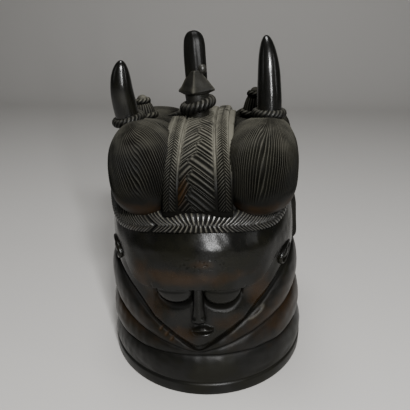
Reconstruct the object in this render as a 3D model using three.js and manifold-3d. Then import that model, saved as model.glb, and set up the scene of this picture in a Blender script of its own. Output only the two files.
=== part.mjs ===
import * as THREE from "three";
import Module from "manifold-3d";
import { mergeVertices } from "three/addons/utils/BufferGeometryUtils.js";

// A sowei helmet mask, carved hollow from one block of wood and blackened.
// Millimetres, +Z up, the face looks along -Y, and the origin is the centre of the rim's underside.
// Pairs in square brackets hold the value for the viewer's left side first, then for the right.

const { clamp, degToRad, lerp, radToDeg, smoothstep } = THREE.MathUtils;
const V = (x, y, z) => new THREE.Vector3(x, y, z);

// Head: the rim, the walls and the lean of the carving over its rim
const rimWidth = 224;
const rimDepth = 250;
const headHeight = 244;
const wall = 14;
const roofWall = 16;
const rimBand = 12;
const rimFlange = 2.9;
const leanAngle = degToRad(2.2);
const leanLength = 40;

// Neck rolls, which run from the chin round to the nape
const rollDepth = 6;
const fullRollHeight = 34;
const jawRises = [1.25, 1.16];
const secondRise = 0.47;

// Face
const faceTurn = 1;
const browStep = 4.5;
const socketDepth = 3;
const cheekRise = 2.2;
const chinRise = 3.5;
const jawStep = 2.2;
const eyeAngle = 14.6;
const eyeHalfAngle = 11.4;
const eyeDrop = 13.4;
const lidRise = 5.5;
const lidSink = 3.5;
const slitRadius = 1.7;
const lowerRimRadius = 3;
const lowerRimDrop = 4.8;
const noseWidth = 17;
const noseRise = 11;
const noseSink = 3;
const mouthTurn = 2.9;
const mouthHalfAngle = 6.4;
const lipHeight = 5.5;
const lipGap = 0.9;
const lipRise = 5;

// Ears
const earAngle = 63;
const earShares = [0.561, 0.533];
const earHalfHeight = 12.5;
const earHalfAngle = 7;
const earRise = 4;

// Hair: the hairline braid, the lobes, the braids over the crown and the hair at the nape
const hairMiddle = 7.5;
const braidShift = 3;
const hairlineHalfHeight = 10.5;
const hairlineRise = 6.5;
const hairlineSink = 1;
const hairlineDip = 9;
const hairlineLift = 21;
const hairlineReach = 84;
const hairlineStrokes = 26;
const napeRise = 3;
const fluteDepth = 1.6;
const strokeDepth = 1.3;
const strokeSlant = 3;
const middleBraidHalf = 18.5;
const sideBraidHalf = 6.5;
const braidGap = 1;
const braidRise = 5;
const braidStrokes = 10;

// Horns and cord rings. A horn leaves its seat along start and has its tip at seat + reach.
const hornDiameter = 24.5;
const hornSink = 14;
const sideHorns = [
  { start: V(-0.22, -0.1, 1), reach: V(-1, -6, 62), bluntness: 3 },
  { start: V(0.03, 0.02, 1), reach: V(-3, 13, 77), bluntness: 2.6 },
];
const crestHorn = { start: V(-0.02, 0.03, 1), reach: V(-2, 8, 46), bluntness: 7 };
const crestHornWidth = 20;
const crestHornThickness = 14.4;
const sideCord = 7.5;
const crestCord = 9.6;
const knotCord = 6;
const cordBite = 2.2;
const ringLift = 2.5;

// Amulet under the middle horn, and the bound knots on the rear lobes
const amuletSide = 27;
const amuletHeight = 21;
const neckHeight = 13.5;
const tailLength = 24;
const buttonRadius = 5.2;
const knotDiameter = 25;
const knotHeights = [18, 23];
const knotFlutes = 8;

// Facets
const headColumns = 48;
const hollowColumns = 24;
const facetTolerance = 0.35;
const weld = 1e-3;

const TURN = 2 * Math.PI;
const left = -1;
const right = 1;
const pick = (pair, side) => pair[side === right ? 1 : 0];
const ramp = (t) => smoothstep(t, 0, 1);
const hill = (t) => Math.exp(-t * t);
const softMin = (a, b, k) => -k * Math.log(Math.exp(-a / k) + Math.exp(-b / k));
const full = (x, power) => Math.sign(x) * Math.pow(Math.abs(x), power);
const isEnd = (along) => along < 1e-6 || along > 1 - 1e-6;

const wasm = await Module();
wasm.setup();

// Six times the volume inside a closed triangle mesh, negative where its faces point inwards.
function signedVolume(points, corners) {
  let volume = 0;
  for (let i = 0; i < corners.length; i += 3) {
    const [a, b, c] = [0, 1, 2].map((k) => new THREE.Vector3().fromArray(points, 3 * corners[i + k]));
    volume += a.dot(b.cross(c));
  }
  return volume;
}

// A closed geometry as a solid for the boolean joins and cuts, with its faces turned outwards.
function solid(geometry) {
  geometry.deleteAttribute("normal");
  geometry.deleteAttribute("uv");
  const merged = mergeVertices(geometry, weld);
  const vertProperties = merged.attributes.position.array;
  const triVerts = merged.index.array;
  if (signedVolume(vertProperties, triVerts) < 0) {
    for (let i = 0; i < triVerts.length; i += 3) {
      [triVerts[i + 1], triVerts[i + 2]] = [triVerts[i + 2], triVerts[i + 1]];
    }
  }
  return new wasm.Manifold(new wasm.Mesh({ numProp: 3, vertProperties, triVerts }));
}

// Moves each vertex of a sphere or torus geometry to place(round, along), both from 0 to 1.
function formed(geometry, place) {
  const { position, uv } = geometry.attributes;
  for (let i = 0; i < position.count; i += 1) {
    const p = place(uv.getX(i), 1 - uv.getY(i));
    position.setXYZ(i, p.x, p.y, p.z);
  }
  return solid(geometry);
}

const skin = (columns, rows, place) => formed(new THREE.SphereGeometry(1, columns, rows), place);
const hoop = (sides, columns, place) => formed(new THREE.TorusGeometry(1, 0.2, sides, columns), place);

// Joins solids into one.
const joined = (solids) => solids.reduce((form, piece) => form.add(piece));

// A smooth line through a short profile of [position, value] pairs in rising order.
function profile(pairs) {
  const slopeAt = (i) => {
    const [t0, v0] = pairs[Math.max(0, i - 1)];
    const [t1, v1] = pairs[Math.min(pairs.length - 1, i + 1)];
    return (v1 - v0) / (t1 - t0);
  };
  return (t) => {
    const next = pairs.findIndex(([at]) => at > t);
    const i = next < 0 ? pairs.length - 2 : Math.max(0, next - 1);
    const [t0, v0] = pairs[i];
    const [t1, v1] = pairs[i + 1];
    const width = t1 - t0;
    const s = clamp((t - t0) / width, 0, 1);
    const rise = s * s * (3 - 2 * s);
    const bend = s * (1 - s) * (1 - s) * slopeAt(i) - s * s * (1 - s) * slopeAt(i + 1);
    return lerp(v0, v1, rise) + width * bend;
  };
}

// The head's plan at shares of its height, as shares of the rim's half width and half depth.
const hairlineShare = 0.775;
const widthAt = profile([
  [0, 0.972],
  [0.1, 0.974],
  [0.18, 0.946],
  [0.25, 0.926],
  [0.37, 0.916],
  [0.5, 0.908],
  [0.62, 0.905],
  [hairlineShare, 0.88],
]);
const frontAt = profile([
  [0, 0.972],
  [0.1, 0.968],
  [0.18, 0.935],
  [0.25, 0.905],
  [0.37, 0.885],
  [0.62, 0.895],
  [hairlineShare, 0.85],
]);
const backAt = profile([
  [0, 0.972],
  [0.1, 0.97],
  [0.18, 0.952],
  [0.25, 0.942],
  [0.5, 0.925],
  [0.62, 0.915],
  [hairlineShare, 0.88],
]);

const hairlineZ = hairlineShare * headHeight;
const chinZ = 0.199 * headHeight;
const jawTop = 0.5 * headHeight;
const secondTop = 0.335 * headHeight;
const lowRollZ = 0.18 * headHeight;

// Heights of the carved lines at an angle from the face, in degrees.
const line = {
  crown: () => headHeight,
  hairline: () => hairlineZ,
  forehead: (angle) => lerp(line.brow(angle), hairlineZ, 0.12),
  brow(angle) {
    const a = Math.abs(angle);
    return headHeight * (0.475 - 0.014 * ramp(a / 28) + 0.15 * ramp((a - 30) / 40));
  },
  jaw(angle) {
    const rise = pick(jawRises, Math.sign(angle)) * (Math.hypot(angle, 4) - 4);
    return softMin(chinZ + rise, jawTop, 4);
  },
  second(angle) {
    const rise = secondRise * (Math.hypot(angle, 4) - 4);
    return softMin(chinZ - 0.25 * rollDepth + rise, secondTop, 3);
  },
  low: (angle) => lowRollZ - 0.5 * rollDepth * ramp(Math.abs(angle) / 60),
  rimTop: () => rimBand + rimFlange,
  rimEdge: () => rimBand,
  rimBase: () => 0,
};

// How far a roll of the neck stands out between its two carved lines.
function roll(z, low, high, depth) {
  const t = clamp((z - low) / (high - low), 0, 1);
  return depth * Math.min(1, (high - low) / fullRollHeight) * Math.pow(4 * t * (1 - t), 0.55);
}

// The face, the back hair and the edge over the jaw line, as relief on the plain head.
function faceRelief(angle, z) {
  const a = Math.abs(angle);
  const overJaw = z - line.jaw(angle);
  const overBrow = z - line.brow(angle);
  const front = 1 - ramp((a - 34) / 22);
  const above = ramp(overBrow / browStep);
  const fading = 1 - 0.75 * ramp(overBrow / (hairlineZ - line.brow(angle)));
  const forehead = browStep * front * above * fading;
  const sockets = socketDepth * front * (1 - above) * hill((overBrow + 8) / 15);
  const cheeks = cheekRise * hill((a - 21) / 12) * hill((z / headHeight - 0.34) / 0.066);
  const chin = chinRise * hill(a / 6) * hill((z / headHeight - 0.26) / 0.037);
  const edge = jawStep * (1 - ramp(overJaw / 9)) * ramp((100 - a) / 30);
  const nape = napeRise * ramp((a - 84) / 6) * ramp(overJaw / 4);
  return forehead - sockets + cheeks + chin - edge + nape;
}

// The whole relief of the head's skin below the hairline, at an angle and a height.
function relief(angle, z) {
  const jaw = line.jaw(angle);
  const second = line.second(angle);
  const low = line.low(angle);
  if (z > jaw) {
    return faceRelief(angle, z);
  }
  if (z > second) {
    return roll(z, second, jaw, rollDepth);
  }
  if (z > low) {
    return roll(z, low, second, rollDepth);
  }
  return z > rimBand + weld ? roll(z, rimBand, low, 0.6 * rollDepth) : rimFlange;
}

// A point of the head at an angle from the face and a height, standing out from its plan by out.
function onHead(angle, z, out) {
  const share = Math.min(z / headHeight, hairlineShare);
  const crown = Math.max(0, (z - hairlineZ) / (headHeight - hairlineZ));
  const dome = Math.sqrt(Math.max(0, 1 - Math.pow(crown, 2.2)));
  const side = Math.sin(degToRad(angle));
  const fore = Math.cos(degToRad(angle));
  const halfWidth = 0.5 * rimWidth * widthAt(share) * dome;
  const halfDepth = 0.5 * rimDepth * (fore > 0 ? frontAt(share) : backAt(share)) * dome;
  const outward = V(side / Math.max(1, halfWidth), -fore / Math.max(1, halfDepth), 0).normalize();
  return V(halfWidth * side, -halfDepth * fore, z).addScaledVector(outward, out);
}

// The rows of the head's skin follow its carved lines, from the crown down.
const bands = [
  { high: line.crown, low: line.hairline, rows: 3 },
  { high: line.hairline, low: line.forehead, rows: 4 },
  { high: line.forehead, low: line.brow, rows: 1 },
  { high: line.brow, low: line.jaw, rows: 5 },
  { high: line.jaw, low: line.second, rows: 4 },
  { high: line.second, low: line.low, rows: 4 },
  { high: line.low, low: line.rimTop, rows: 3 },
  { high: line.rimTop, low: line.rimEdge, rows: 1 },
  { high: line.rimEdge, low: line.rimBase, rows: 1 },
];
const numbered = (band) => Array.from({ length: band.rows }, (_, i) => ({ ...band, row: i + 1 }));
const rowBands = bands.flatMap(numbered);

function headSkin() {
  const rows = rowBands.length + 1;
  return skin(headColumns, rows, (round, along) => {
    const row = Math.round(along * rows);
    if (row === 0 || row === rows) {
      return V(0, 0, row === 0 ? headHeight : 0);
    }
    const plain = (round - 0.5) * TURN;
    const angle = radToDeg(plain - 0.4 * Math.sin(plain));
    const band = rowBands[row - 1];
    const t = band.row / band.rows;
    const down = band.high === line.crown ? 1 - Math.cos((t * Math.PI) / 2) : t;
    const z = lerp(band.high(angle), band.low(angle), down);
    return onHead(angle, z, band.high === line.crown ? 0 : relief(angle, z));
  });
}

// The hollow for the wearer's head: a dome over straight walls that go out below the rim.
function hollow() {
  const top = headHeight - roofWall;
  const shoulder = 0.8 * top;
  const domeRows = 4;
  const wallRows = 4;
  const rows = domeRows + wallRows + 1;
  return skin(hollowColumns, rows, (round, along) => {
    const row = Math.round(along * rows);
    const quarter = (Math.min(1, row / domeRows) * Math.PI) / 2;
    const down = Math.max(0, (row - domeRows) / wallRows);
    const z = lerp(shoulder, top, Math.cos(quarter)) - Math.min(1, down) * (shoulder + rimBand);
    const p = onHead(360 * round, clamp(z, 0, shoulder), -wall);
    const share = row === rows ? 0 : Math.sin(quarter);
    return V(p.x * share, p.y * share, z);
  });
}

// A round bar on the head. path(t) gives the angle, the height and how far out its middle lies.
function barOnHead(path, radius, steps, sides) {
  return skin(sides, steps, (round, along) => {
    const t = clamp((along * steps - 1) / (steps - 2), 0, 1);
    const [angle, z, out] = path(t);
    const here = onHead(angle, z, out);
    const forward = onHead(...path(Math.min(1, t + 0.01))).sub(onHead(...path(Math.max(0, t - 0.01))));
    const outward = onHead(angle, z, out + 1).sub(here);
    const across = new THREE.Vector3().crossVectors(forward, outward).normalize();
    const lift = new THREE.Vector3().crossVectors(across, forward).normalize();
    const r = isEnd(along) ? 0 : radius;
    const x = r * Math.cos(TURN * round);
    const y = r * Math.sin(TURN * round);
    return here.addScaledVector(across, x).addScaledVector(lift, y);
  });
}

// An eye's height, and a line that sags under its lid by drop, from the inner corner to the outer.
const eyeZs = [0.461 * headHeight, 0.455 * headHeight];

function eyeLine(side, drop, out) {
  return (t) => {
    const s = 2 * t - 1;
    const sag = drop * Math.sqrt(1 - 0.92 * s * s);
    const corner = (s > 0 ? 3 : 0.6) * s * s;
    return [faceTurn + side * (eyeAngle + eyeHalfAngle * s), pick(eyeZs, side) + 0.5 - sag + corner, out];
  };
}

function eyelid(side) {
  return skin(10, 7, (round, along) => {
    const wide = Math.sin(Math.PI * along) * Math.cos(TURN * round);
    const out = Math.sin(Math.PI * along) * Math.sin(TURN * round);
    const z = pick(eyeZs, side) + 1.05 * eyeDrop * Math.cos(Math.PI * along);
    return onHead(faceTurn + side * (eyeAngle + eyeHalfAngle * wide), z, lidRise * out - lidSink);
  });
}

function lowerRim(side) {
  return barOnHead(eyeLine(side, eyeDrop + lowerRimDrop, -0.6 * lowerRimRadius), lowerRimRadius, 12, 5);
}

function eyeSlit(side) {
  return barOnHead(eyeLine(side, eyeDrop + 0.6, -0.25 * slitRadius), slitRadius, 14, 5);
}

// The nose widens and rises towards its tip and ends in a short underside.
function nose() {
  const top = 0.5 * headHeight;
  const tip = 0.325 * headHeight;
  return skin(8, 8, (round, along) => {
    const end = Math.sqrt(Math.max(0, 1 - Math.pow(2 * along - 1, 8)));
    const half = lerp(0.28, 0.5, along * along) * noseWidth * end;
    const rise = lerp(0.25, 1, along) * noseRise * end;
    const turn = faceTurn + radToDeg((half * Math.cos(TURN * round)) / (0.45 * rimWidth));
    return onHead(turn, lerp(top, tip, along), rise * Math.sin(TURN * round) - noseSink);
  });
}

// One lip, up 1 for the upper and -1 for the lower.
function lip(up) {
  const mouthZ = 0.29 * headHeight;
  return skin(10, 5, (round, along) => {
    const s = Math.cos(Math.PI * along);
    const r = Math.sin(Math.PI * along);
    const middle = mouthZ + 0.5 * up * (lipHeight + lipGap) + 0.8 * s * s;
    const z = middle + 0.5 * lipHeight * r * Math.sin(TURN * round);
    const out = lipRise * r * Math.cos(TURN * round) + 0.5 + 0.3 * (up + 1);
    return onHead(mouthTurn + mouthHalfAngle * s, z, out);
  });
}

// An oval ear in relief: a rim, a groove inside it and a raised middle.
function ear(side) {
  const z = pick(earShares, side) * headHeight;
  const angleAt = (across) => side * (earAngle + earHalfAngle * across);
  const place = (across, up, out) => onHead(angleAt(across), z + earHalfHeight * up, out);
  const rim = hoop(5, 16, (round, along) => {
    const r = 0.86 + 0.15 * Math.cos(TURN * along);
    const up = Math.sin(TURN * round);
    return place(r * Math.cos(TURN * round) + 0.32 * up, r * up, 1 + earRise * Math.sin(TURN * along));
  });
  const middle = skin(8, 5, (round, along) => {
    const r = Math.sin(Math.PI * along);
    const up = Math.cos(Math.PI * along);
    const out = 0.85 * earRise * r * Math.sin(TURN * round);
    return place(0.34 * r * Math.cos(TURN * round) + 0.16 * up, 0.55 * up, out);
  });
  return rim.add(middle);
}

// The braided band over the forehead, from temple to temple, whose strokes meet in the middle.
function hairlineBraid() {
  const steps = 2 * hairlineStrokes + 2;
  return skin(6, steps, (round, along) => {
    const t = clamp((along * steps - 1) / (steps - 2), 0, 1);
    const angle = lerp(-hairlineReach, hairlineReach, t);
    const a = Math.abs(angle);
    const z = hairlineZ - hairlineSink - hairlineDip * ramp(a / 45) + hairlineLift * ramp((a - 43) / 42);
    const size = isEnd(along) ? 0 : 1 - 0.4 * ramp((a - 50) / (hairlineReach - 50));
    const stroke = Math.round(along * steps) % 2 ? strokeDepth : 0;
    const up = Math.sin(TURN * round);
    const out = Math.max(-0.6, Math.cos(TURN * round));
    const slant = radToDeg(strokeSlant / (0.5 * rimWidth)) * Math.abs(up) * Math.sign(angle);
    const rise = (hairlineRise - stroke) * size * out - hairlineSink - 2 * (1 - size);
    return onHead(angle + slant * size, z + hairlineHalfHeight * size * up, rise);
  });
}

// The hair lobes are full domes whose flutes run down from the seat of the horn or knot on top.
const lobePower = 0.77;
const lobeTilt = 0.1;
const frontLobe = {
  middle: V(0.256 * rimWidth, -0.185 * rimDepth, 0.92 * headHeight),
  half: V(0.166 * rimWidth, 0.25 * rimDepth, 0.195 * headHeight),
  under: 0.18 * headHeight,
  seats: [V(0.55, 0.25, 1), V(0.16, 0.25, 1)],
  flutes: 20,
  rows: 8,
};
const rearLobe = {
  middle: V(0.245 * rimWidth, 0.19 * rimDepth, 0.905 * headHeight),
  half: V(0.18 * rimWidth, 0.23 * rimDepth, 0.19 * headHeight),
  under: 0.17 * headHeight,
  seats: [V(0.33, -0.42, 1), V(-0.06, -0.36, 1)],
  flutes: 12,
  rows: 7,
};

// The point of a lobe in a direction from its middle, with +X of the direction pointing outwards.
function onLobe(lobe, side, direction, scale = 1) {
  const d = direction.clone().normalize();
  const x = scale * lobe.half.x * full(d.x, lobePower);
  const y = scale * lobe.half.y * full(d.y, lobePower);
  const z = scale * (d.z > 0 ? lobe.half.z : lobe.under) * full(d.z, lobePower);
  return V(hairMiddle + side * (lobe.middle.x + x), lobe.middle.y + y, lobe.middle.z + z + lobeTilt * x);
}

const seatOn = (lobe, side) => onLobe(lobe, side, pick(lobe.seats, side));

function hairLobe(lobe, side) {
  const f = frameAlong(pick(lobe.seats, side));
  return skin(2 * lobe.flutes, lobe.rows, (round, along) => {
    const turn = side * TURN * round;
    const polar = Math.PI * along;
    const ring = Math.sin(polar);
    const [x, y, z] = [ring * Math.cos(turn), ring * Math.sin(turn), Math.cos(polar)];
    const direction = inFrame(V(0, 0, 0), f, x, y, z);
    const fade = ramp((along - 0.12) / 0.1) * (1 - ramp((along - 0.62) / 0.1));
    const groove = Math.round(round * 2 * lobe.flutes) % 2 ? fluteDepth * fade : 0;
    return onLobe(lobe, side, direction, 1 - groove / lobe.half.z);
  });
}

// The arch that the braids follow from the hairline over the crown to the nape.
const archHalfDepth = 0.425 * rimDepth;
const archTop = 1.1 * headHeight;
const archFoot = 0.76 * headHeight;
const archStart = 0.035;
const archPower = 0.8;

function onArch(t, x, lift) {
  const turn = Math.PI * lerp(archStart, 1 - archStart, t);
  const y = -archHalfDepth * full(Math.cos(turn), archPower);
  const up = (archTop - archFoot) * full(Math.sin(turn), archPower);
  const outward = V(0, y / archHalfDepth, up / (archTop - archFoot)).normalize();
  return V(hairMiddle - braidShift + x, y, archFoot + up).addScaledVector(outward, lift);
}

// A braid over the crown: place 0 is the broad middle one, and -1 and 1 the narrow ones beside it.
function crownBraid(place) {
  const steps = 2 * braidStrokes + 2;
  const depth = 20;
  return skin(6, steps, (round, along) => {
    const t = clamp((along * steps - 1) / (steps - 2), 0, 1);
    const broad = middleBraidHalf * (1 - 0.22 * Math.pow(Math.sin(Math.PI * t), 2));
    const middle = place * (broad + braidGap + sideBraidHalf);
    const half = place === 0 ? broad : sideBraidHalf;
    const size = isEnd(along) ? 0 : 1;
    const stroke = Math.round(along * steps) % 2 ? strokeDepth : 0;
    const up = Math.sin(TURN * round);
    const across = half * size * Math.cos(TURN * round);
    const slant = (0.35 * Math.abs(across) * Math.sign(t - 0.5)) / (Math.PI * archHalfDepth);
    return onArch(t + slant, middle + across, size * up * (up > 0 ? braidRise - stroke : depth));
  });
}

// The plain ground between the braids and the lobes.
function hairGround() {
  const steps = 14;
  const depth = 24;
  const half = middleBraidHalf + 2 * (braidGap + sideBraidHalf);
  return skin(6, steps, (round, along) => {
    const t = clamp((along * steps - 1) / (steps - 2), 0, 1);
    const size = isEnd(along) ? 0 : 1;
    const up = Math.sin(TURN * round);
    return onArch(t, half * size * Math.cos(TURN * round), size * (up > 0.1 ? -0.5 : depth * up));
  });
}

// A frame with its third axis along a direction, and a point in such a frame.
function frameAlong(direction) {
  const w = direction.clone().normalize();
  const u = V(0, 1, 0).cross(w).normalize();
  return { u, v: new THREE.Vector3().crossVectors(w, u), w };
}

function inFrame(origin, { u, v, w }, x, y, z) {
  return origin.clone().addScaledVector(u, x).addScaledVector(v, y).addScaledVector(w, z);
}

// A twisted cord ring round a seat, which bites into what it binds.
function cordRing(seat, axis, boundRadius, cord, strands) {
  const f = frameAlong(axis);
  const radius = boundRadius + 0.5 * cord - cordBite;
  return hoop(5, 2 * strands, (round, along) => {
    const section = TURN * along;
    const turn = TURN * (round + (0.55 * Math.sin(section)) / strands);
    const half = 0.5 * cord * (Math.round(round * 2 * strands) % 2 ? 0.8 : 1);
    const r = radius + half * Math.cos(section);
    return inFrame(seat, f, r * Math.cos(turn), r * Math.sin(turn), 1.15 * half * Math.sin(section));
  });
}

// A horn, sunk into its seat and rounded off at its tip.
function horn(seat, { start, reach, bluntness }, width, thickness) {
  const first = start.clone().normalize();
  const bend = seat.clone().addScaledVector(first, 0.55 * reach.length());
  const path = new THREE.QuadraticBezierCurve3(seat, bend, seat.clone().add(reach));
  const buried = hornSink / (hornSink + reach.length());
  return skin(12, 9, (round, along) => {
    const s = (along * (1.5 - 0.5 * along) - buried) / (1 - buried);
    const middle = s < 0 ? seat.clone().addScaledVector(first, s * reach.length()) : path.getPoint(s);
    const f = frameAlong(s < 0 ? first : path.getTangent(s));
    const taper = along === 0 ? 0 : Math.sqrt(Math.max(0, 1 - Math.pow(Math.max(0, s), bluntness)));
    const x = 0.5 * width * taper * Math.cos(TURN * round);
    const y = 0.5 * thickness * taper * Math.sin(TURN * round);
    return inFrame(middle, f, x, y, 0);
  });
}

function sideHorn(side) {
  const seat = seatOn(frontLobe, side);
  const form = pick(sideHorns, side);
  const ringSeat = seat.clone().addScaledVector(form.start.clone().normalize(), ringLift);
  const ring = cordRing(ringSeat, form.start, 0.5 * hornDiameter, sideCord, 10);
  return horn(seat, form, hornDiameter, hornDiameter).add(ring);
}

// The crest: a cord ring with a loose tail, and a four-sided amulet with a blunt horn and a button.
function crest() {
  const seat = V(1, -0.08 * rimDepth, archTop + braidRise + crestCord);
  const f = frameAlong(V(0.05, 0, 1));
  const half = amuletSide / Math.SQRT2;
  const neck = 0.62 * half;
  const foot = -2.6 * crestCord;
  const top = neckHeight + amuletHeight;
  const levels = [
    [foot, 0],
    [foot, 0.9 * neck],
    [0.4 * neckHeight, neck],
    [neckHeight - 2, neck + 1],
    [neckHeight, half],
    [neckHeight + 2.5, 0.96 * half],
    [neckHeight + 0.55 * amuletHeight, 0.62 * half],
    [top, 0.3 * half],
    [top, 0],
  ];
  const last = levels.length - 1;
  const amulet = skin(8, last, (round, along) => {
    const [h, reach] = levels[Math.round(along * last)];
    const turn = TURN * round + degToRad(8);
    const r = reach * (Math.round(round * 8) % 2 ? 0.8 : 1);
    return inFrame(seat, f, r * Math.cos(turn), r * Math.sin(turn), h);
  });
  const button = skin(8, 6, (round, along) => {
    const r = buttonRadius * Math.sin(Math.PI * along);
    const h = top + 1 - 1.1 * buttonRadius * Math.cos(Math.PI * along);
    return inFrame(seat, f, buttonRadius + r * Math.cos(TURN * round), 1 + r * Math.sin(TURN * round), h);
  });
  const tail = skin(8, 6, (round, along) => {
    const r = 0.5 * crestCord * Math.pow(1 - along, 0.7) * Math.min(1, 8 * along);
    const p = inFrame(seat, f, 0, r * Math.cos(TURN * round) - 2, r * Math.sin(TURN * round));
    const out = 0.3 * amuletSide + tailLength * along;
    return p.add(V(-out, 0, -0.6 * crestCord - 0.2 * tailLength * along));
  });
  const hornSeat = inFrame(seat, f, -0.5 * buttonRadius, buttonRadius, neckHeight + 0.6 * amuletHeight);
  const blade = horn(hornSeat, crestHorn, crestHornWidth, crestHornThickness);
  const ring = cordRing(seat, V(-0.26, -0.05, 1), neck, crestCord, 12);
  return joined([ring, amulet, blade, button, tail]);
}

// A fluted knot of hair on a rear lobe, bound by a cord below and one above.
function knot(side) {
  const seat = seatOn(rearLobe, side);
  const axis = V(0.12 * side, 0, 1);
  const f = frameAlong(axis);
  const height = pick(knotHeights, side);
  const body = skin(2 * knotFlutes, 6, (round, along) => {
    const flute = Math.round(round * 2 * knotFlutes) % 2 ? 0.9 : 1;
    const r = knotDiameter * (0.62 - 0.34 * along) * Math.sqrt(Math.sin(Math.PI * along)) * flute;
    const h = height * (0.3 - 0.75 * Math.cos(Math.PI * along));
    return inFrame(seat, f, r * Math.cos(TURN * round), r * Math.sin(TURN * round), h);
  });
  const cap = skin(8, 5, (round, along) => {
    const r = 0.24 * knotDiameter * Math.sin(Math.PI * along);
    const h = height - 0.9 * knotCord * Math.cos(Math.PI * along);
    return inFrame(seat, f, r * Math.cos(TURN * round), r * Math.sin(TURN * round), h);
  });
  const low = cordRing(seat, axis, 0.46 * knotDiameter, knotCord, 8);
  const high = cordRing(inFrame(seat, f, 0, 0, 0.9 * height), axis, 0.22 * knotDiameter, knotCord, 5);
  return joined([body, cap, low, high]);
}

// The head leans over its rim as it was carved, while the rim stays flat.
function leaned(p) {
  const angle = leanAngle * ramp((p.z - rimBand) / leanLength);
  const x = p.x * Math.cos(angle) - p.z * Math.sin(angle);
  return V(x, p.y, p.z * Math.cos(angle) + p.x * Math.sin(angle));
}

function leanedGeometry(form) {
  const { vertProperties, triVerts, numProp } = form.getMesh();
  const points = new Float32Array(vertProperties.length);
  for (let i = 0; i < vertProperties.length; i += numProp) {
    leaned(V(vertProperties[i], vertProperties[i + 1], vertProperties[i + 2])).toArray(points, i);
  }
  const geometry = new THREE.BufferGeometry();
  geometry.setAttribute("position", new THREE.BufferAttribute(points, 3));
  geometry.setIndex(new THREE.BufferAttribute(new Uint32Array(triVerts), 1));
  geometry.computeVertexNormals();
  return geometry;
}

const bothSides = (make) => joined([make(left), make(right)]);

// Everything joined into one block of wood, with small closed pockets between the pieces filled.
function carvedMask() {
  const braids = joined([hairGround(), crownBraid(0), crownBraid(-1), crownBraid(1)]);
  const lobes = bothSides((side) => hairLobe(frontLobe, side).add(hairLobe(rearLobe, side)));
  const tops = bothSides((side) => sideHorn(side).add(knot(side))).add(crest());
  const hair = joined([hairlineBraid(), lobes, braids, tops]);
  const eyes = bothSides((side) => eyelid(side).add(lowerRim(side))).subtract(bothSides(eyeSlit));
  const face = headSkin().subtract(bothSides(eyeSlit));
  const features = joined([eyes, nose(), lip(1), lip(-1), bothSides(ear)]);
  const form = joined([face, features, hair]).subtract(hollow());
  const shells = form.asOriginal().simplify(facetTolerance).decompose();
  return shells.reduce((a, b) => (a.volume() > b.volume() ? a : b));
}

const wood = new THREE.MeshStandardMaterial({ color: 0x17140f, roughness: 0.42, metalness: 0 });
const mask = new THREE.Mesh(leanedGeometry(carvedMask()), wood);
mask.name = "mask";

const part = new THREE.Group();
part.add(mask);

export default part;
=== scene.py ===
"""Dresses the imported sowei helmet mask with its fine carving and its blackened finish.

Shapes are worked out in millimetres in the part's own frame: +Z up, the face looks along -Y, and
the origin is the centre of the rim's underside. A pair of values holds the left side, as the
viewer sees it, first.
"""

import logging
import math
from collections.abc import Callable
from dataclasses import dataclass, field
from enum import Enum

import bpy
import numpy as np
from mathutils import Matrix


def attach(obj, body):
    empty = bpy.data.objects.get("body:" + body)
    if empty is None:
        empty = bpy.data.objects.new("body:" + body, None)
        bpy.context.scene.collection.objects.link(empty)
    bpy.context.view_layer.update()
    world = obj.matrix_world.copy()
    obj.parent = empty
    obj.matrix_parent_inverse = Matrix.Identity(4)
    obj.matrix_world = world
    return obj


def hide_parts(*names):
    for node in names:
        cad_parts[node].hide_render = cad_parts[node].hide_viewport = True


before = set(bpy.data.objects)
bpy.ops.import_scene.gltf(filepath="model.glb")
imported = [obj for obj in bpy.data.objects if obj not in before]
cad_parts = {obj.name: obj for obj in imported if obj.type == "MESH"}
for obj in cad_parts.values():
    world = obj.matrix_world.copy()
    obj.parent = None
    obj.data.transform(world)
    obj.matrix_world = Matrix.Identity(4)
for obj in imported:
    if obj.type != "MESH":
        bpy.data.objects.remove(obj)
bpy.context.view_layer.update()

LOG = logging.getLogger("mask")
MM = 0.001
TURN = 2 * math.pi

Array = np.ndarray
Pair = tuple[float, float]
Colour = tuple[float, float, float]
Line = Callable[[Array], Array]
Socket = bpy.types.NodeSocket


class Side(Enum):
    """One side of the mask, as the viewer sees it."""

    LEFT = -1
    RIGHT = 1

    def pick(self, pair: tuple) -> object:
        """Returns this side's value of a pair."""
        return pair[self is Side.RIGHT]

    @property
    def label(self) -> str:
        """The side's name in piece names."""
        return self.name.lower()


# ---------------------------------------------------------------- plain functions on arrays


def ramp(t: Array) -> Array:
    """Rises smoothly from 0 at t = 0 to 1 at t = 1, as 3t^2 - 2t^3."""
    t = np.clip(t, 0.0, 1.0)
    return t * t * (3 - 2 * t)


def hill(t: Array) -> Array:
    """A smooth hill, exp(-t^2)."""
    return np.exp(-np.square(t))


def lerp(a: Array, b: Array, t: Array) -> Array:
    """Goes straight from a to b as t goes from 0 to 1."""
    return a + (b - a) * t


def soft_min(a: Array, b: Array, k: float) -> Array:
    """The smaller of a and b, rounded over about k: -k log(exp(-a/k) + exp(-b/k))."""
    return -k * np.logaddexp(-a / k, -b / k)


def soft_max(a: Array, b: Array, k: float) -> Array:
    """The larger of a and b, rounded over about k."""
    return k * np.logaddexp(a / k, b / k)


def full(x: Array, power: float) -> Array:
    """x with its size raised to a power and its sign kept; a power under 1 makes a form fuller."""
    return np.sign(x) * np.abs(x) ** power


def spread(start: float, end: float, count: int, density: Line) -> Array:
    """Places values between two ends, closer together where the density is higher.

    Args:
        start: The first value.
        end: The last value.
        count: How many values.
        density: Gives the wanted density at a value.

    Returns:
        The values, at equal steps of the summed density.
    """
    fine = np.linspace(start, end, 2001)
    total = np.concatenate([[0.0], np.cumsum(density(0.5 * (fine[1:] + fine[:-1])))])
    return np.interp(np.linspace(0, total[-1], count), total, fine)


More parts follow.
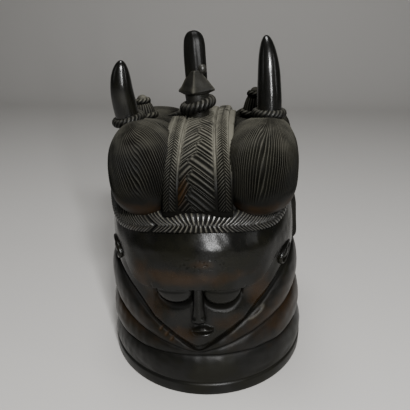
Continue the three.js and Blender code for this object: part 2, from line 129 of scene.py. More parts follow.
def profile(pairs: list[Pair]) -> Line:
    """Makes a smooth line through [position, value] pairs, as cubic Hermite pieces.

    Args:
        pairs: Positions in rising order, each with its value.

    Returns:
        A function of the position.
    """
    at, value = np.array(pairs).T
    slope = np.gradient(value, at)
    slope[1:-1] = (value[2:] - value[:-2]) / (at[2:] - at[:-2])

    def line(t: Array) -> Array:
        """The value at t: a blend of both neighbours and of their slopes."""
        t = np.asarray(t, dtype=float)
        i = np.clip(np.searchsorted(at, t, side="right") - 1, 0, len(at) - 2)
        width = at[i + 1] - at[i]
        s = np.clip((t - at[i]) / width, 0, 1)
        bend = s * (1 - s) ** 2 * slope[i] - s * s * (1 - s) * slope[i + 1]
        return lerp(value[i], value[i + 1], ramp(s)) + width * bend

    return line


def unevenness(points: Array, size: float, seed: int, waves: int = 10) -> Array:
    """The hand's unevenness: a sum of plane waves in random directions, mostly between -1 and 1.

    Args:
        points: Places in millimetres, with xyz last.
        size: The usual length of a wave.
        seed: Fixes the random directions.
        waves: How many waves are added.

    Returns:
        A value for each point.
    """
    rng = np.random.default_rng(seed)
    total = np.zeros(points.shape[:-1])
    for direction, stretch, shift in zip(
        rng.normal(size=(waves, 3)), rng.uniform(0.7, 1.5, waves), rng.uniform(0, TURN, waves)
    ):
        direction = direction / np.linalg.norm(direction)
        total += np.sin(points @ direction * (TURN * stretch / size) + shift)
    return total * math.sqrt(2 / waves) * 0.7


def strokes(phase: Array, seed: int, width: float = 0.7) -> tuple[Array, Array, Array]:
    """A row of strokes cut by hand, each a V between narrow ridges.

    Args:
        phase: Counts the strokes; the middle of each cut is at a half.
        seed: Fixes each stroke's own depth and shift.
        width: The cut's share of the pitch.

    Returns:
        The cut from 0 on a ridge to about 1, the same without its own depth, and 1 on the ridges.
    """
    most = 512
    rng = np.random.default_rng(seed)
    depths = rng.uniform(0.65, 1.15, most)
    shifts = rng.uniform(-0.07, 0.07, most)
    index = np.floor(phase).astype(int) % most
    from_middle = phase - np.floor(phase) - 0.5
    cut = np.clip(1 - 2 * np.abs(from_middle - shifts[index]) / width, 0, 1)
    return cut * depths[index], np.sqrt(cut), ramp((np.abs(from_middle) - 0.3) / 0.2)


def normalised(v: Array) -> Array:
    """Vectors of length 1 along v."""
    return v / np.maximum(np.linalg.norm(v, axis=-1, keepdims=True), 1e-9)


def axes_along(direction: Array) -> tuple[Array, Array, Array]:
    """A frame whose third axis lies along a direction: u = Y x w, v = w x u.

    Args:
        direction: One direction, or an array of them.

    Returns:
        The axes u, v and w.
    """
    w = normalised(np.asarray(direction, dtype=float))
    u = normalised(np.cross(np.array([0.0, 1.0, 0.0]), w))
    return u, np.cross(w, u), w


def placed(origin: Array, axes: tuple[Array, Array, Array], x: Array, y: Array, z: Array) -> Array:
    """Points at x, y and z in a frame with an origin: origin + x u + y v + z w.

    Args:
        origin: Where x, y and z are 0.
        axes: The frame's axes u, v and w.
        x: Distances along u.
        y: Distances along v.
        z: Distances along w.

    Returns:
        The points.
    """
    u, v, w = axes
    x, y, z = np.broadcast_arrays(x, y, z)
    return origin + x[..., None] * u + y[..., None] * v + z[..., None] * w


def vec(x: float, y: float, z: float) -> Array:
    """A point or direction."""
    return np.array([x, y, z], dtype=float)


def circle(count: int) -> Array:
    """So many angles at equal steps round a full turn."""
    return np.linspace(0, TURN, count, endpoint=False)


def slanted(x: Array, up: Array, cosine: float, sine: float) -> tuple[Array, Array]:
    """Distances along and across a line that slants by an angle with this cosine and sine."""
    return cosine * x + sine * up, sine * x - cosine * up


# ---------------------------------------------------------------- finishes


@dataclass(frozen=True)
class Finish:
    """Blackened, oiled wood: brown where it is worn, dusty on top, with painted shade in its cuts
    and hollows, and pale ridges that are partly dust and partly a painted highlight.
    """

    name: str
    black: Colour = (0.0030, 0.0030, 0.0025)
    brown: Colour = (0.0135, 0.0068, 0.0020)
    olive: Colour = (0.0062, 0.0060, 0.0040)
    dust: Colour = (0.105, 0.100, 0.080)
    painted_shade_black: Colour = (0.0025, 0.0024, 0.002)
    dustiness: float = 0.0
    dust_low: float = 0.245
    dust_high: float = 0.285
    roughness: float = 0.34
    unevenness: float = 0.10
    grain: float = 0.35
    coat: float = 0.0
    coat_roughness: float = 0.16
    gloss: float = 0.22
    ridge: float = 0.0
    cut_dullness: float = 0.85
    cut_roughness: float = 0.8
    dust_roughness: float = 0.86
    patch_waves: float = 26.0
    blotch_waves: float = 75.0
    speck_waves: float = 620.0
    fibre_waves: float = 900.0
    fibre_stretch: float = 0.09
    relief_depth: float = 0.00016

    def material(self) -> bpy.types.Material:
        """Makes the node material, on its first use.

        Returns:
            The material.
        """
        made = bpy.data.materials.get(self.name)
        if made is None:
            made = bpy.data.materials.new(self.name)
            made.use_nodes = True
            self.feed(made.node_tree.nodes["Principled BSDF"].inputs, Nodes(made.node_tree))
        return made

    def feed(self, inputs: bpy.types.NodeInputs, n: "Nodes") -> None:
        """Feeds the shader: four noises, the values painted on the piece, height and slope.

        Args:
            inputs: The shader's inputs.
            n: Adds the nodes.
        """
        inputs["IOR"].default_value = 1.5
        if self.coat:
            inputs["Coat Weight"].default_value = self.coat
            inputs["Coat Roughness"].default_value = self.coat_roughness
        place = n.place()
        patches = n.noise(place, self.patch_waves, 4.0)
        blotches = n.noise(place, self.blotch_waves, 5.0)
        specks = n.noise(place, self.speck_waves, 3.0)
        fibres = n.noise(n.stretched(place, (1.0, 1.0, self.fibre_stretch)), self.fibre_waves, 3.0)
        cut, swing = n.value("cut"), n.sum(blotches, -0.5)
        uncut = n.inverse(n.product(cut, self.cut_dullness))
        dust_and_sheen_share = n.product(self.dust_and_sheen_share(n, blotches, specks), uncut)
        colour = self.wood(n, patches, specks, swing)
        colour = n.mix(dust_and_sheen_share, colour, self.dust)
        # Painted highlight and dust: the crests of the ridges take the pale dust colour where the
        # ridge value is painted.
        broken = n.step(n.sum(patches, n.product(specks, 0.4)), 0.35, 0.8)
        edge = n.product(n.product(n.value("ridge"), broken), self.ridge)
        colour = n.mix(edge, colour, self.dust)
        # Painted shade: the cut value darkens cuts, creases and hollows towards black.
        n.feed(inputs["Base Color"], n.mix(n.product(cut, 0.8), colour, self.painted_shade_black))

        # The gloss varies in patches; dust and the painted shade in cuts are dull and rough.
        shine = n.product(n.mix_value(n.step(patches, 0.36, 0.64), 1.25, 0.65), self.gloss)
        n.feed(inputs["Specular IOR Level"], n.product(shine, uncut))
        rough = n.sum(n.product(swing, 2 * self.unevenness), self.roughness)
        rough = n.sum(rough, n.product(specks, 0.08))
        rough = n.mix_value(n.product(dust_and_sheen_share, 0.9), rough, self.dust_roughness)
        rough = n.mix_value(n.product(cut, 0.7), rough, self.cut_roughness)
        n.feed(inputs["Roughness"], rough)
        relief = n.sum(n.product(fibres, self.grain), n.product(specks, 0.5))
        n.feed(inputs["Normal"], n.bump(relief, self.relief_depth))

    def dust_and_sheen_share(self, n: "Nodes", blotches: object, specks: object) -> object:
        """Dust in blotches on what faces up and above a height, plus the painted value, which holds
        dust and some painted highlight.

        Args:
            n: Adds the nodes.
            blotches: The middle noise.
            specks: The fine noise.

        Returns:
            The share of the pale colour: dust, with some painted highlight.
        """
        over = n.step(n.height(), self.dust_low, self.dust_high)
        share = n.product(n.product(n.step(n.up(), 0.0, 0.85), over), self.dustiness)
        share = n.sum(share, n.value("dust"))
        return n.product(share, n.step(n.sum(blotches, n.product(specks, 0.35)), 0.25, 0.80))

    def wood(self, n: "Nodes", patches: object, specks: object, swing: object) -> object:
        """Black wood with olive patches and brown specks, and brown where it is worn.

        Args:
            n: Adds the nodes.
            patches: The coarse noise.
            specks: The fine noise.
            swing: The middle noise, round 0.

        Returns:
            The colour.
        """
        colour = n.mix(n.step(patches, 0.46, 0.66), self.black, self.olive)
        rubbed = n.sum(n.product(n.value("wear"), 1.25), n.product(swing, 0.9))
        colour = n.mix(n.step(rubbed, 0.25, 0.95), colour, self.brown)
        return n.mix(n.product(n.step(specks, 0.60, 0.74), 0.25), colour, self.brown)


class Nodes:
    """Short calls that add the nodes of one material and link them."""

    def __init__(self, tree: bpy.types.NodeTree) -> None:
        """Keeps the tree that the nodes go into."""
        self.tree = tree

    def add(self, kind: str, **settings: object) -> bpy.types.Node:
        """Adds a node of a kind and sets its settings.

        Args:
            kind: The node's kind, by Blender's name.
            settings: The values of its settings.

        Returns:
            The node.
        """
        node = self.tree.nodes.new(kind)
        for key, value in settings.items():
            setattr(node, key, value)
        return node

    def feed(self, socket: Socket, value: object) -> None:
        """Links another socket to this one, or sets its value.

        Args:
            socket: The input.
            value: A socket, a colour or a number.
        """
        if isinstance(value, Socket):
            self.tree.links.new(value, socket)
        elif isinstance(value, tuple) and len(value) == 3 and len(socket.default_value) == 4:
            socket.default_value = (*value, 1.0)
        else:
            socket.default_value = value

    def place(self) -> Socket:
        """The place on the object, in metres."""
        return self.add("ShaderNodeTexCoord").outputs["Object"]

    def stretched(self, place: Socket, scale: tuple) -> Socket:
        """The place, scaled along each axis.

        Args:
            place: The place.
            scale: The factor along each axis.

        Returns:
            The scaled place.
        """
        node = self.add("ShaderNodeMapping")
        self.feed(node.inputs["Vector"], place)
        node.inputs["Scale"].default_value = scale
        return node.outputs["Vector"]

    def noise(self, place: Socket, scale: float, detail: float) -> Socket:
        """A noise value from 0 to 1, with so many waves a metre.

        Args:
            place: The place.
            scale: Waves a metre.
            detail: How many finer layers.

        Returns:
            The noise.
        """
        node = self.add("ShaderNodeTexNoise")
        self.feed(node.inputs["Vector"], place)
        node.inputs["Scale"].default_value = scale
        node.inputs["Detail"].default_value = detail
        return node.outputs[0]

    def value(self, name: str) -> Socket:
        """A value painted on the piece's points."""
        return self.add("ShaderNodeAttribute", attribute_name=name).outputs["Fac"]

    def up(self) -> Socket:
        """How far the surface faces up, from -1 to 1.

        Returns:
            The third part of the normal.
        """
        node = self.add("ShaderNodeSeparateXYZ")
        self.feed(node.inputs[0], self.add("ShaderNodeNewGeometry").outputs["Normal"])
        return node.outputs[2]

    def height(self) -> Socket:
        """The height above the table, in metres.

        Returns:
            The third part of the place.
        """
        node = self.add("ShaderNodeSeparateXYZ")
        self.feed(node.inputs[0], self.place())
        return node.outputs[2]

    def math(self, operation: str, a: object, b: object) -> Socket:
        """A sum on two values.

        Args:
            operation: Blender's name of the sum.
            a: The first value.
            b: The second.

        Returns:
            The result.
        """
        node = self.add("ShaderNodeMath", operation=operation)
        self.feed(node.inputs[0], a)
        self.feed(node.inputs[1], b)
        return node.outputs[0]

    def product(self, a: object, b: object) -> Socket:
        """a times b."""
        return self.math("MULTIPLY", a, b)

    def sum(self, a: object, b: object) -> Socket:
        """a plus b."""
        return self.math("ADD", a, b)

    def inverse(self, a: object) -> Socket:
        """1 minus a."""
        return self.math("SUBTRACT", 1.0, a)

    def step(self, value: object, low: float, high: float) -> Socket:
        """0 below low, 1 above high, and smooth between them.

        Args:
            value: What is compared.
            low: Where the rise starts.
            high: Where it ends.

        Returns:
            The share from 0 to 1.
        """
        node = self.add("ShaderNodeMapRange", interpolation_type="SMOOTHSTEP")
        self.feed(node.inputs["Value"], value)
        node.inputs["From Min"].default_value = low
        node.inputs["From Max"].default_value = high
        return node.outputs["Result"]

    def mix(self, share: object, a: object, b: object) -> Socket:
        """Goes from colour a to colour b.

        Args:
            share: How much of b.
            a: The colour at 0.
            b: The colour at 1.

        Returns:
            The colour.
        """
        node = self.add("ShaderNodeMix", data_type="RGBA")
        self.feed(node.inputs[0], share)
        self.feed(node.inputs[6], a)
        self.feed(node.inputs[7], b)
        return node.outputs[2]

    def mix_value(self, share: object, a: object, b: object) -> Socket:
        """Goes from value a to value b.

        Args:
            share: How much of b.
            a: The value at 0.
            b: The value at 1.

        Returns:
            The value.
        """
        node = self.add("ShaderNodeMix", data_type="FLOAT")
        self.feed(node.inputs[0], share)
        self.feed(node.inputs[2], a)
        self.feed(node.inputs[3], b)
        return node.outputs[0]

    def bump(self, height: object, depth: float) -> Socket:
        """Fine relief whose height goes from 0 to depth, in metres.

        Args:
            height: The relief from 0 to 1.
            depth: Its height in metres.

        Returns:
            The changed normal.
        """
        node = self.add("ShaderNodeBump")
        node.inputs["Strength"].default_value = 1.0
        node.inputs["Distance"].default_value = depth
        self.feed(node.inputs["Height"], height)
        return node.outputs["Normal"]


FACE_WOOD = Finish("polished_face_wood", roughness=0.21, grain=0.13, gloss=0.23)
NECK_WOOD = Finish("neck_wood", roughness=0.34, grain=0.3, gloss=0.2)
HAIR_WOOD = Finish(
    "fluted_hair_wood",
    dustiness=0.8,
    dust_low=0.238,
    dust_high=0.29,
    roughness=0.44,
    gloss=0.08,
    ridge=0.28,
)
BRAID_WOOD = Finish(
    "braid_wood",
    dustiness=0.95,
    dust_low=0.215,
    dust_high=0.272,
    roughness=0.44,
    gloss=0.10,
    ridge=0.34,
)
BAND_WOOD = Finish("hairline_wood", roughness=0.25, gloss=0.5, ridge=1.0)
HORN_WOOD = Finish(
    "polished_horn_wood", roughness=0.20, unevenness=0.06, coat=0.25, gloss=0.32
)
DRY_HORN_WOOD = Finish("dry_horn_wood", roughness=0.34, grain=0.6, gloss=0.10)
CORD_WOOD = Finish("carved_cord_wood", dustiness=0.3, roughness=0.38, gloss=0.2, ridge=0.2)
AMULET_WOOD = Finish("amulet_wood", dustiness=0.10, roughness=0.30, gloss=0.34, ridge=0.35)


# ---------------------------------------------------------------- forms


# Values painted on points: painted shade in cuts and hollows, brown wear, dust with a little
# painted highlight, and pale crests that are partly dust and partly painted highlight.
TONES = ("cut", "wear", "dust", "ridge")


def grid_faces(rows: int, columns: int, wrap: bool) -> Array:
    """The four-cornered faces of a grid of points; wrap joins the last column to the first.

    Args:
        rows: How many rows of points.
        columns: How many points in a row.
        wrap: Whether each row closes on itself.

    Returns:
        The numbers of each face's four points.
    """
    row = np.arange(rows - 1)[:, None] * columns
    column = np.arange(columns if wrap else columns - 1)[None, :]
    following = (column + 1) % columns
    corners = [row + column, row + following, row + columns + following, row + columns + column]
    return np.stack(corners, -1).reshape(-1, 4)


@dataclass
class Form:
    """A closed surface in millimetres, with values painted on its points."""

    points: Array
    quads: Array
    triangles: Array
    tones: dict[str, Array] = field(default_factory=dict)

    @classmethod
    def capped(cls, rings: Array, first: Array, last: Array, tones: dict[str, Array]) -> "Form":
        """Closes rings of points with a pole at each end.

        Args:
            rings: Points in rows of rings.
            first: The pole before the first ring.
            last: The pole after the last ring.
            tones: Values for the points of the rings.

        Returns:
            The form.
        """
        rows, columns = rings.shape[:2]
        points = np.concatenate([rings.reshape(-1, 3), [first], [last]])
        here = np.arange(columns)
        following = (here + 1) % columns
        end = (rows - 1) * columns
        top = np.stack([np.full(columns, rows * columns), following, here], -1)
        foot = np.stack([np.full(columns, rows * columns + 1), end + here, end + following], -1)
        painted = {
            key: np.append(values, [values[0].mean(), values[-1].mean()])
            for key, values in tones.items()
        }
        return cls(points, grid_faces(rows, columns, True), np.concatenate([top, foot]), painted)

    @classmethod
    def closed(cls, rings: Array, tones: dict[str, Array]) -> "Form":
        """Closes rings of points at the middles of the first ring and the last."""
        return cls.capped(rings, rings[0].mean(0), rings[-1].mean(0), tones)

    @classmethod
    def looped(cls, grid: Array, tones: dict[str, Array]) -> "Form":
        """Joins a grid's last row to its first and its last column to its first, as on a ring.

        Args:
            grid: Points in rows.
            tones: Values for the points.

        Returns:
            The closed form.
        """
        rows, columns = grid.shape[:2]
        faces = grid_faces(rows + 1, columns, True) % (rows * columns)
        painted = {key: v.ravel() for key, v in tones.items()}
        return cls(grid.reshape(-1, 3), faces, np.zeros((0, 3), int), painted)

    @classmethod
    def slab(cls, outer: Array, inner: Array, step: int, tones: dict[str, Array]) -> "Form":
        """Backs a fine grid with a coarse one, and closes the edge between them with fans.

        Args:
            outer: The fine grid of points.
            inner: The coarse grid, with one point for every step points of the fine one.
            step: How many fine faces lie along one coarse face.
            tones: Values for the fine points.

        Returns:
            The form.
        """
        fine, coarse = (Form.edge(*grid.shape[:2]) for grid in (outer, inner))
        offset = outer.shape[0] * outer.shape[1]
        coarse = coarse + offset
        points = np.concatenate([outer.reshape(-1, 3), inner.reshape(-1, 3)])
        back = grid_faces(*inner.shape[:2], False)[:, ::-1] + offset
        index = np.arange(len(fine))
        owner = coarse[index // step]
        fans = np.stack([np.roll(fine, -1), fine, owner], -1)
        links = np.stack([np.roll(fine[::step], -1), coarse, np.roll(coarse, -1)], -1)
        quads = np.concatenate([grid_faces(*outer.shape[:2], False), back])
        blank = np.zeros(inner.size // 3)
        painted = {key: np.concatenate([v.ravel(), blank]) for key, v in tones.items()}
        return cls(points, quads, np.concatenate([fans, links]), painted)

    @staticmethod
    def edge(rows: int, columns: int) -> Array:
        """The points round a grid's edge, in the turning sense of its faces."""
        grid = np.arange(rows * columns).reshape(rows, columns)
        return np.concatenate([grid[0, :-1], grid[:-1, -1], grid[-1, :0:-1], grid[:0:-1, 0]])

    def joined(self, other: "Form") -> "Form":
        """This form and another in one piece.

        Args:
            other: The form that is added.

        Returns:
            Both in one.
        """
        offset = len(self.points)
        blank = np.zeros(len(other.points))
        return Form(
            np.concatenate([self.points, other.points]),
            np.concatenate([self.quads, other.quads + offset]),
            np.concatenate([self.triangles, other.triangles + offset]),
            {k: np.concatenate([v, other.tones.get(k, blank)]) for k, v in self.tones.items()},
        )

    def outward(self) -> "Form":
        """This form with its faces turned outwards, by the sign of the volume that they enclose.

        Returns:
            The turned form, or this one.
        """
        p = self.points
        split = np.concatenate([self.quads[:, [0, 1, 2]], self.quads[:, [0, 2, 3]], self.triangles])
        a, b, c = (p[split[:, k]] for k in range(3))
        if np.einsum("ij,ij->i", a, np.cross(b, c)).sum() < 0:
            return Form(p, self.quads[:, ::-1], self.triangles[:, ::-1], self.tones)
        return self

    def mesh(self, name: str) -> bpy.types.Mesh:
        """Fills a Blender mesh, leaned over the rim and in metres, with its tones as attributes.

        Args:
            name: The mesh's name.

        Returns:
            The mesh.
        """
        made = bpy.data.meshes.new(name)
        points = leaned(self.points) * MM
        made.vertices.add(len(points))
        made.vertices.foreach_set("co", points.astype(np.float32).ravel())
        corners = np.concatenate([self.quads.ravel(), self.triangles.ravel()])
        made.loops.add(len(corners))
        made.loops.foreach_set("vertex_index", corners.astype(np.int32))
        sizes = np.repeat([4, 3], [len(self.quads), len(self.triangles)])
        starts = np.concatenate([[0], np.cumsum(sizes)[:-1]])
        made.polygons.add(len(sizes))
        made.polygons.foreach_set("loop_start", starts.astype(np.int32))
        made.polygons.foreach_set("use_smooth", np.ones(len(sizes), dtype=bool))
        made.update(calc_edges=True)
        for key in TONES:
            values = self.tones.get(key, np.zeros(len(points))).astype(np.float32)
            made.attributes.new(key, "FLOAT", "POINT").data.foreach_set("value", values)
        return made

    def piece(self, name: str, finish: Finish, crease: float | None = None) -> bpy.types.Object:
        """Makes the Blender object and rides it on the CAD body.

        Args:
            name: The piece's name.
            finish: Its finish.
            crease: The angle in degrees over which an edge stays sharp.

        Returns:
            The object.
        """
        mesh = self.outward().mesh(name)
        if crease is not None:
            mesh.set_sharp_from_angle(angle=math.radians(crease))
        mesh.materials.append(finish.material())
        made = bpy.data.objects.new(name, mesh)
        bpy.context.scene.collection.objects.link(made)
        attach(made, "root")
        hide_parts("mask")
        LOG.info("%s: %d triangles", name, 2 * len(self.quads) + len(self.triangles))
        return made


LEAN_ANGLE = math.radians(2.2)
LEAN_LENGTH = 40.0
RIM_BAND = 12.0
RIM_DEPTH = 250.0
HEAD_HEIGHT = 244.0
# The relief where a form of the face isn't, so that it lies under all others.
NOWHERE = -9.0


def leaned(points: Array) -> Array:
    """Leans the carving over its flat rim, about Y, by an angle that ramps up above the rim.

    Args:
        points: Places in millimetres, with xyz last.

    Returns:
        The places after the lean.
    """
    x, y, z = points[..., 0], points[..., 1], points[..., 2]
    angle = LEAN_ANGLE * ramp((z - RIM_BAND) / LEAN_LENGTH)
    cosine, sine = np.cos(angle), np.sin(angle)
    return np.stack([x * cosine - z * sine, y, z * cosine + x * sine], -1)


# ---------------------------------------------------------------- the head


@dataclass
class Head:
    """The plain head: its plan at each height, its carved lines and its relief."""

    rim_width: float = 224.0
    rim_depth: float = RIM_DEPTH
    height: float = HEAD_HEIGHT
    rim_flange: float = 2.9
    chin_share: float = 0.199
    low_roll_share: float = 0.18
    brow_share: float = 0.475
    brow_sag: float = 0.014
    temple_rise: float = 0.15
    roll_depth: float = 6.0
    full_roll: float = 34.0
    jaw_rises: Pair = (1.25, 1.16)
    second_rise: float = 0.47
    brow_step: float = 4.5
    socket_depth: float = 3.0
    cheek_rise: float = 2.2
    chin_rise: float = 3.5
    jaw_step: float = 2.2
    nape_rise: float = 3.0
    hairline_share: float = 0.775

    def __post_init__(self) -> None:
        """Works out the plan's profiles and the heights that depend on the head's height."""
        h = self.hairline_share
        self.hairline = h * self.height
        self.chin = self.chin_share * self.height
        self.low_roll = self.low_roll_share * self.height
        lower = [(0, 0.972), (0.1, 0.974), (0.18, 0.946), (0.25, 0.926), (0.37, 0.916)]
        self.width_at = profile([*lower, (0.5, 0.908), (0.62, 0.905), (h, 0.88)])
        front = [(0, 0.972), (0.1, 0.968), (0.18, 0.935), (0.25, 0.905), (0.37, 0.885)]
        self.front_at = profile([*front, (0.62, 0.895), (h, 0.85)])
        back = [(0, 0.972), (0.1, 0.97), (0.18, 0.952), (0.25, 0.942), (0.5, 0.925)]
        self.back_at = profile([*back, (0.62, 0.915), (h, 0.88)])

    def brow(self, angle: Array) -> Array:
        """The brow's height: level over the eyes, then rising towards the temples.

        Args:
            angle: Degrees from the face, positive to the viewer's right.

        Returns:
            The heights.
        """
        a = np.abs(angle)
        rise = self.temple_rise * ramp((a - 30) / 40)
        return self.height * (self.brow_share - self.brow_sag * ramp(a / 28) + rise)

    def jaw(self, angle: Array) -> Array:
        """The jaw line: straight up from the chin, then levelling off beside the ears."""
        rise = np.where(angle > 0, self.jaw_rises[1], self.jaw_rises[0])
        return soft_min(self.chin + rise * (np.hypot(angle, 4) - 4), 0.5 * self.height, 4)

    def second(self, angle: Array) -> Array:
        """The line between the two upper neck rolls."""
        rise = self.second_rise * (np.hypot(angle, 4) - 4)
        return soft_min(self.chin - 0.25 * self.roll_depth + rise, 0.335 * self.height, 3)

    def low(self, angle: Array) -> Array:
        """The line over the lowest neck roll."""
        return self.low_roll - 0.5 * self.roll_depth * ramp(np.abs(angle) / 60)

    def roll(self, z: Array, low: Array, high: Array, depth: float) -> Array:
        """A neck roll between two lines: depth times (4t(1 - t))^0.55, less where it is narrow."""
        t = np.clip((z - low) / (high - low), 0, 1)
        return depth * np.minimum(1, (high - low) / self.full_roll) * (4 * t * (1 - t)) ** 0.55

    def face_relief(self, angle: Array, z: Array) -> Array:
        """Forehead, sockets, cheeks, chin and the jaw's edge, as a sum of hills and ramps.

        Args:
            angle: Degrees from the face, positive to the viewer's right.
            z: The points' heights.

        Returns:
            How far each point stands out.
        """
        a = np.abs(angle)
        over_jaw, over_brow = z - self.jaw(angle), z - self.brow(angle)
        front = 1 - ramp((a - 34) / 22)
        above = ramp(over_brow / self.brow_step)
        fading = 1 - 0.75 * ramp(over_brow / (self.hairline - self.brow(angle)))
        forehead = self.brow_step * front * above * fading
        sockets = self.socket_depth * front * (1 - above) * hill((over_brow + 8) / 15)
        share = z / self.height
        cheeks = self.cheek_rise * hill((a - 21) / 12) * hill((share - 0.34) / 0.066)
        chin = self.chin_rise * hill(a / 6) * hill((share - 0.26) / 0.037)
        edge = self.jaw_step * (1 - ramp(over_jaw / 9)) * ramp((100 - a) / 30)
        return forehead - sockets + cheeks + chin - edge

    def on(self, angle: Array, z: Array, out: Array) -> Array:
        """Points on the head: an ellipse at each height, moved outwards along its level normal.

        Args:
            angle: Degrees from the face, positive to the viewer's right.
            z: The height.
            out: How far the point stands out.

        Returns:
            The points.
        """
        angle, z, out = np.broadcast_arrays(*(np.asarray(v, dtype=float) for v in (angle, z, out)))
        share = np.minimum(z / self.height, self.hairline_share)
        crown = np.maximum(0, (z - self.hairline) / (self.height - self.hairline))
        dome = np.sqrt(np.maximum(0, 1 - crown**2.2))
        side, fore = np.sin(np.radians(angle)), np.cos(np.radians(angle))
        half_width = 0.5 * self.rim_width * self.width_at(share) * dome
        depth_share = np.where(fore > 0, self.front_at(share), self.back_at(share))
        half_depth = 0.5 * self.rim_depth * depth_share * dome
        normal = np.stack([side / np.maximum(1, half_width), -fore / np.maximum(1, half_depth)], -1)
        flat = np.stack([half_width * side, -half_depth * fore], -1)
        return np.concatenate([flat + normalised(normal) * out[..., None], z[..., None]], -1)

    def band_line(self, angle: Array) -> Array:
        """The middle of the hairline braid: it dips at each side and rises towards the temples."""
        a = np.abs(angle)
        return self.hairline - 1 - 9 * ramp(a / 45) + 21 * ramp((a - 43) / 42)


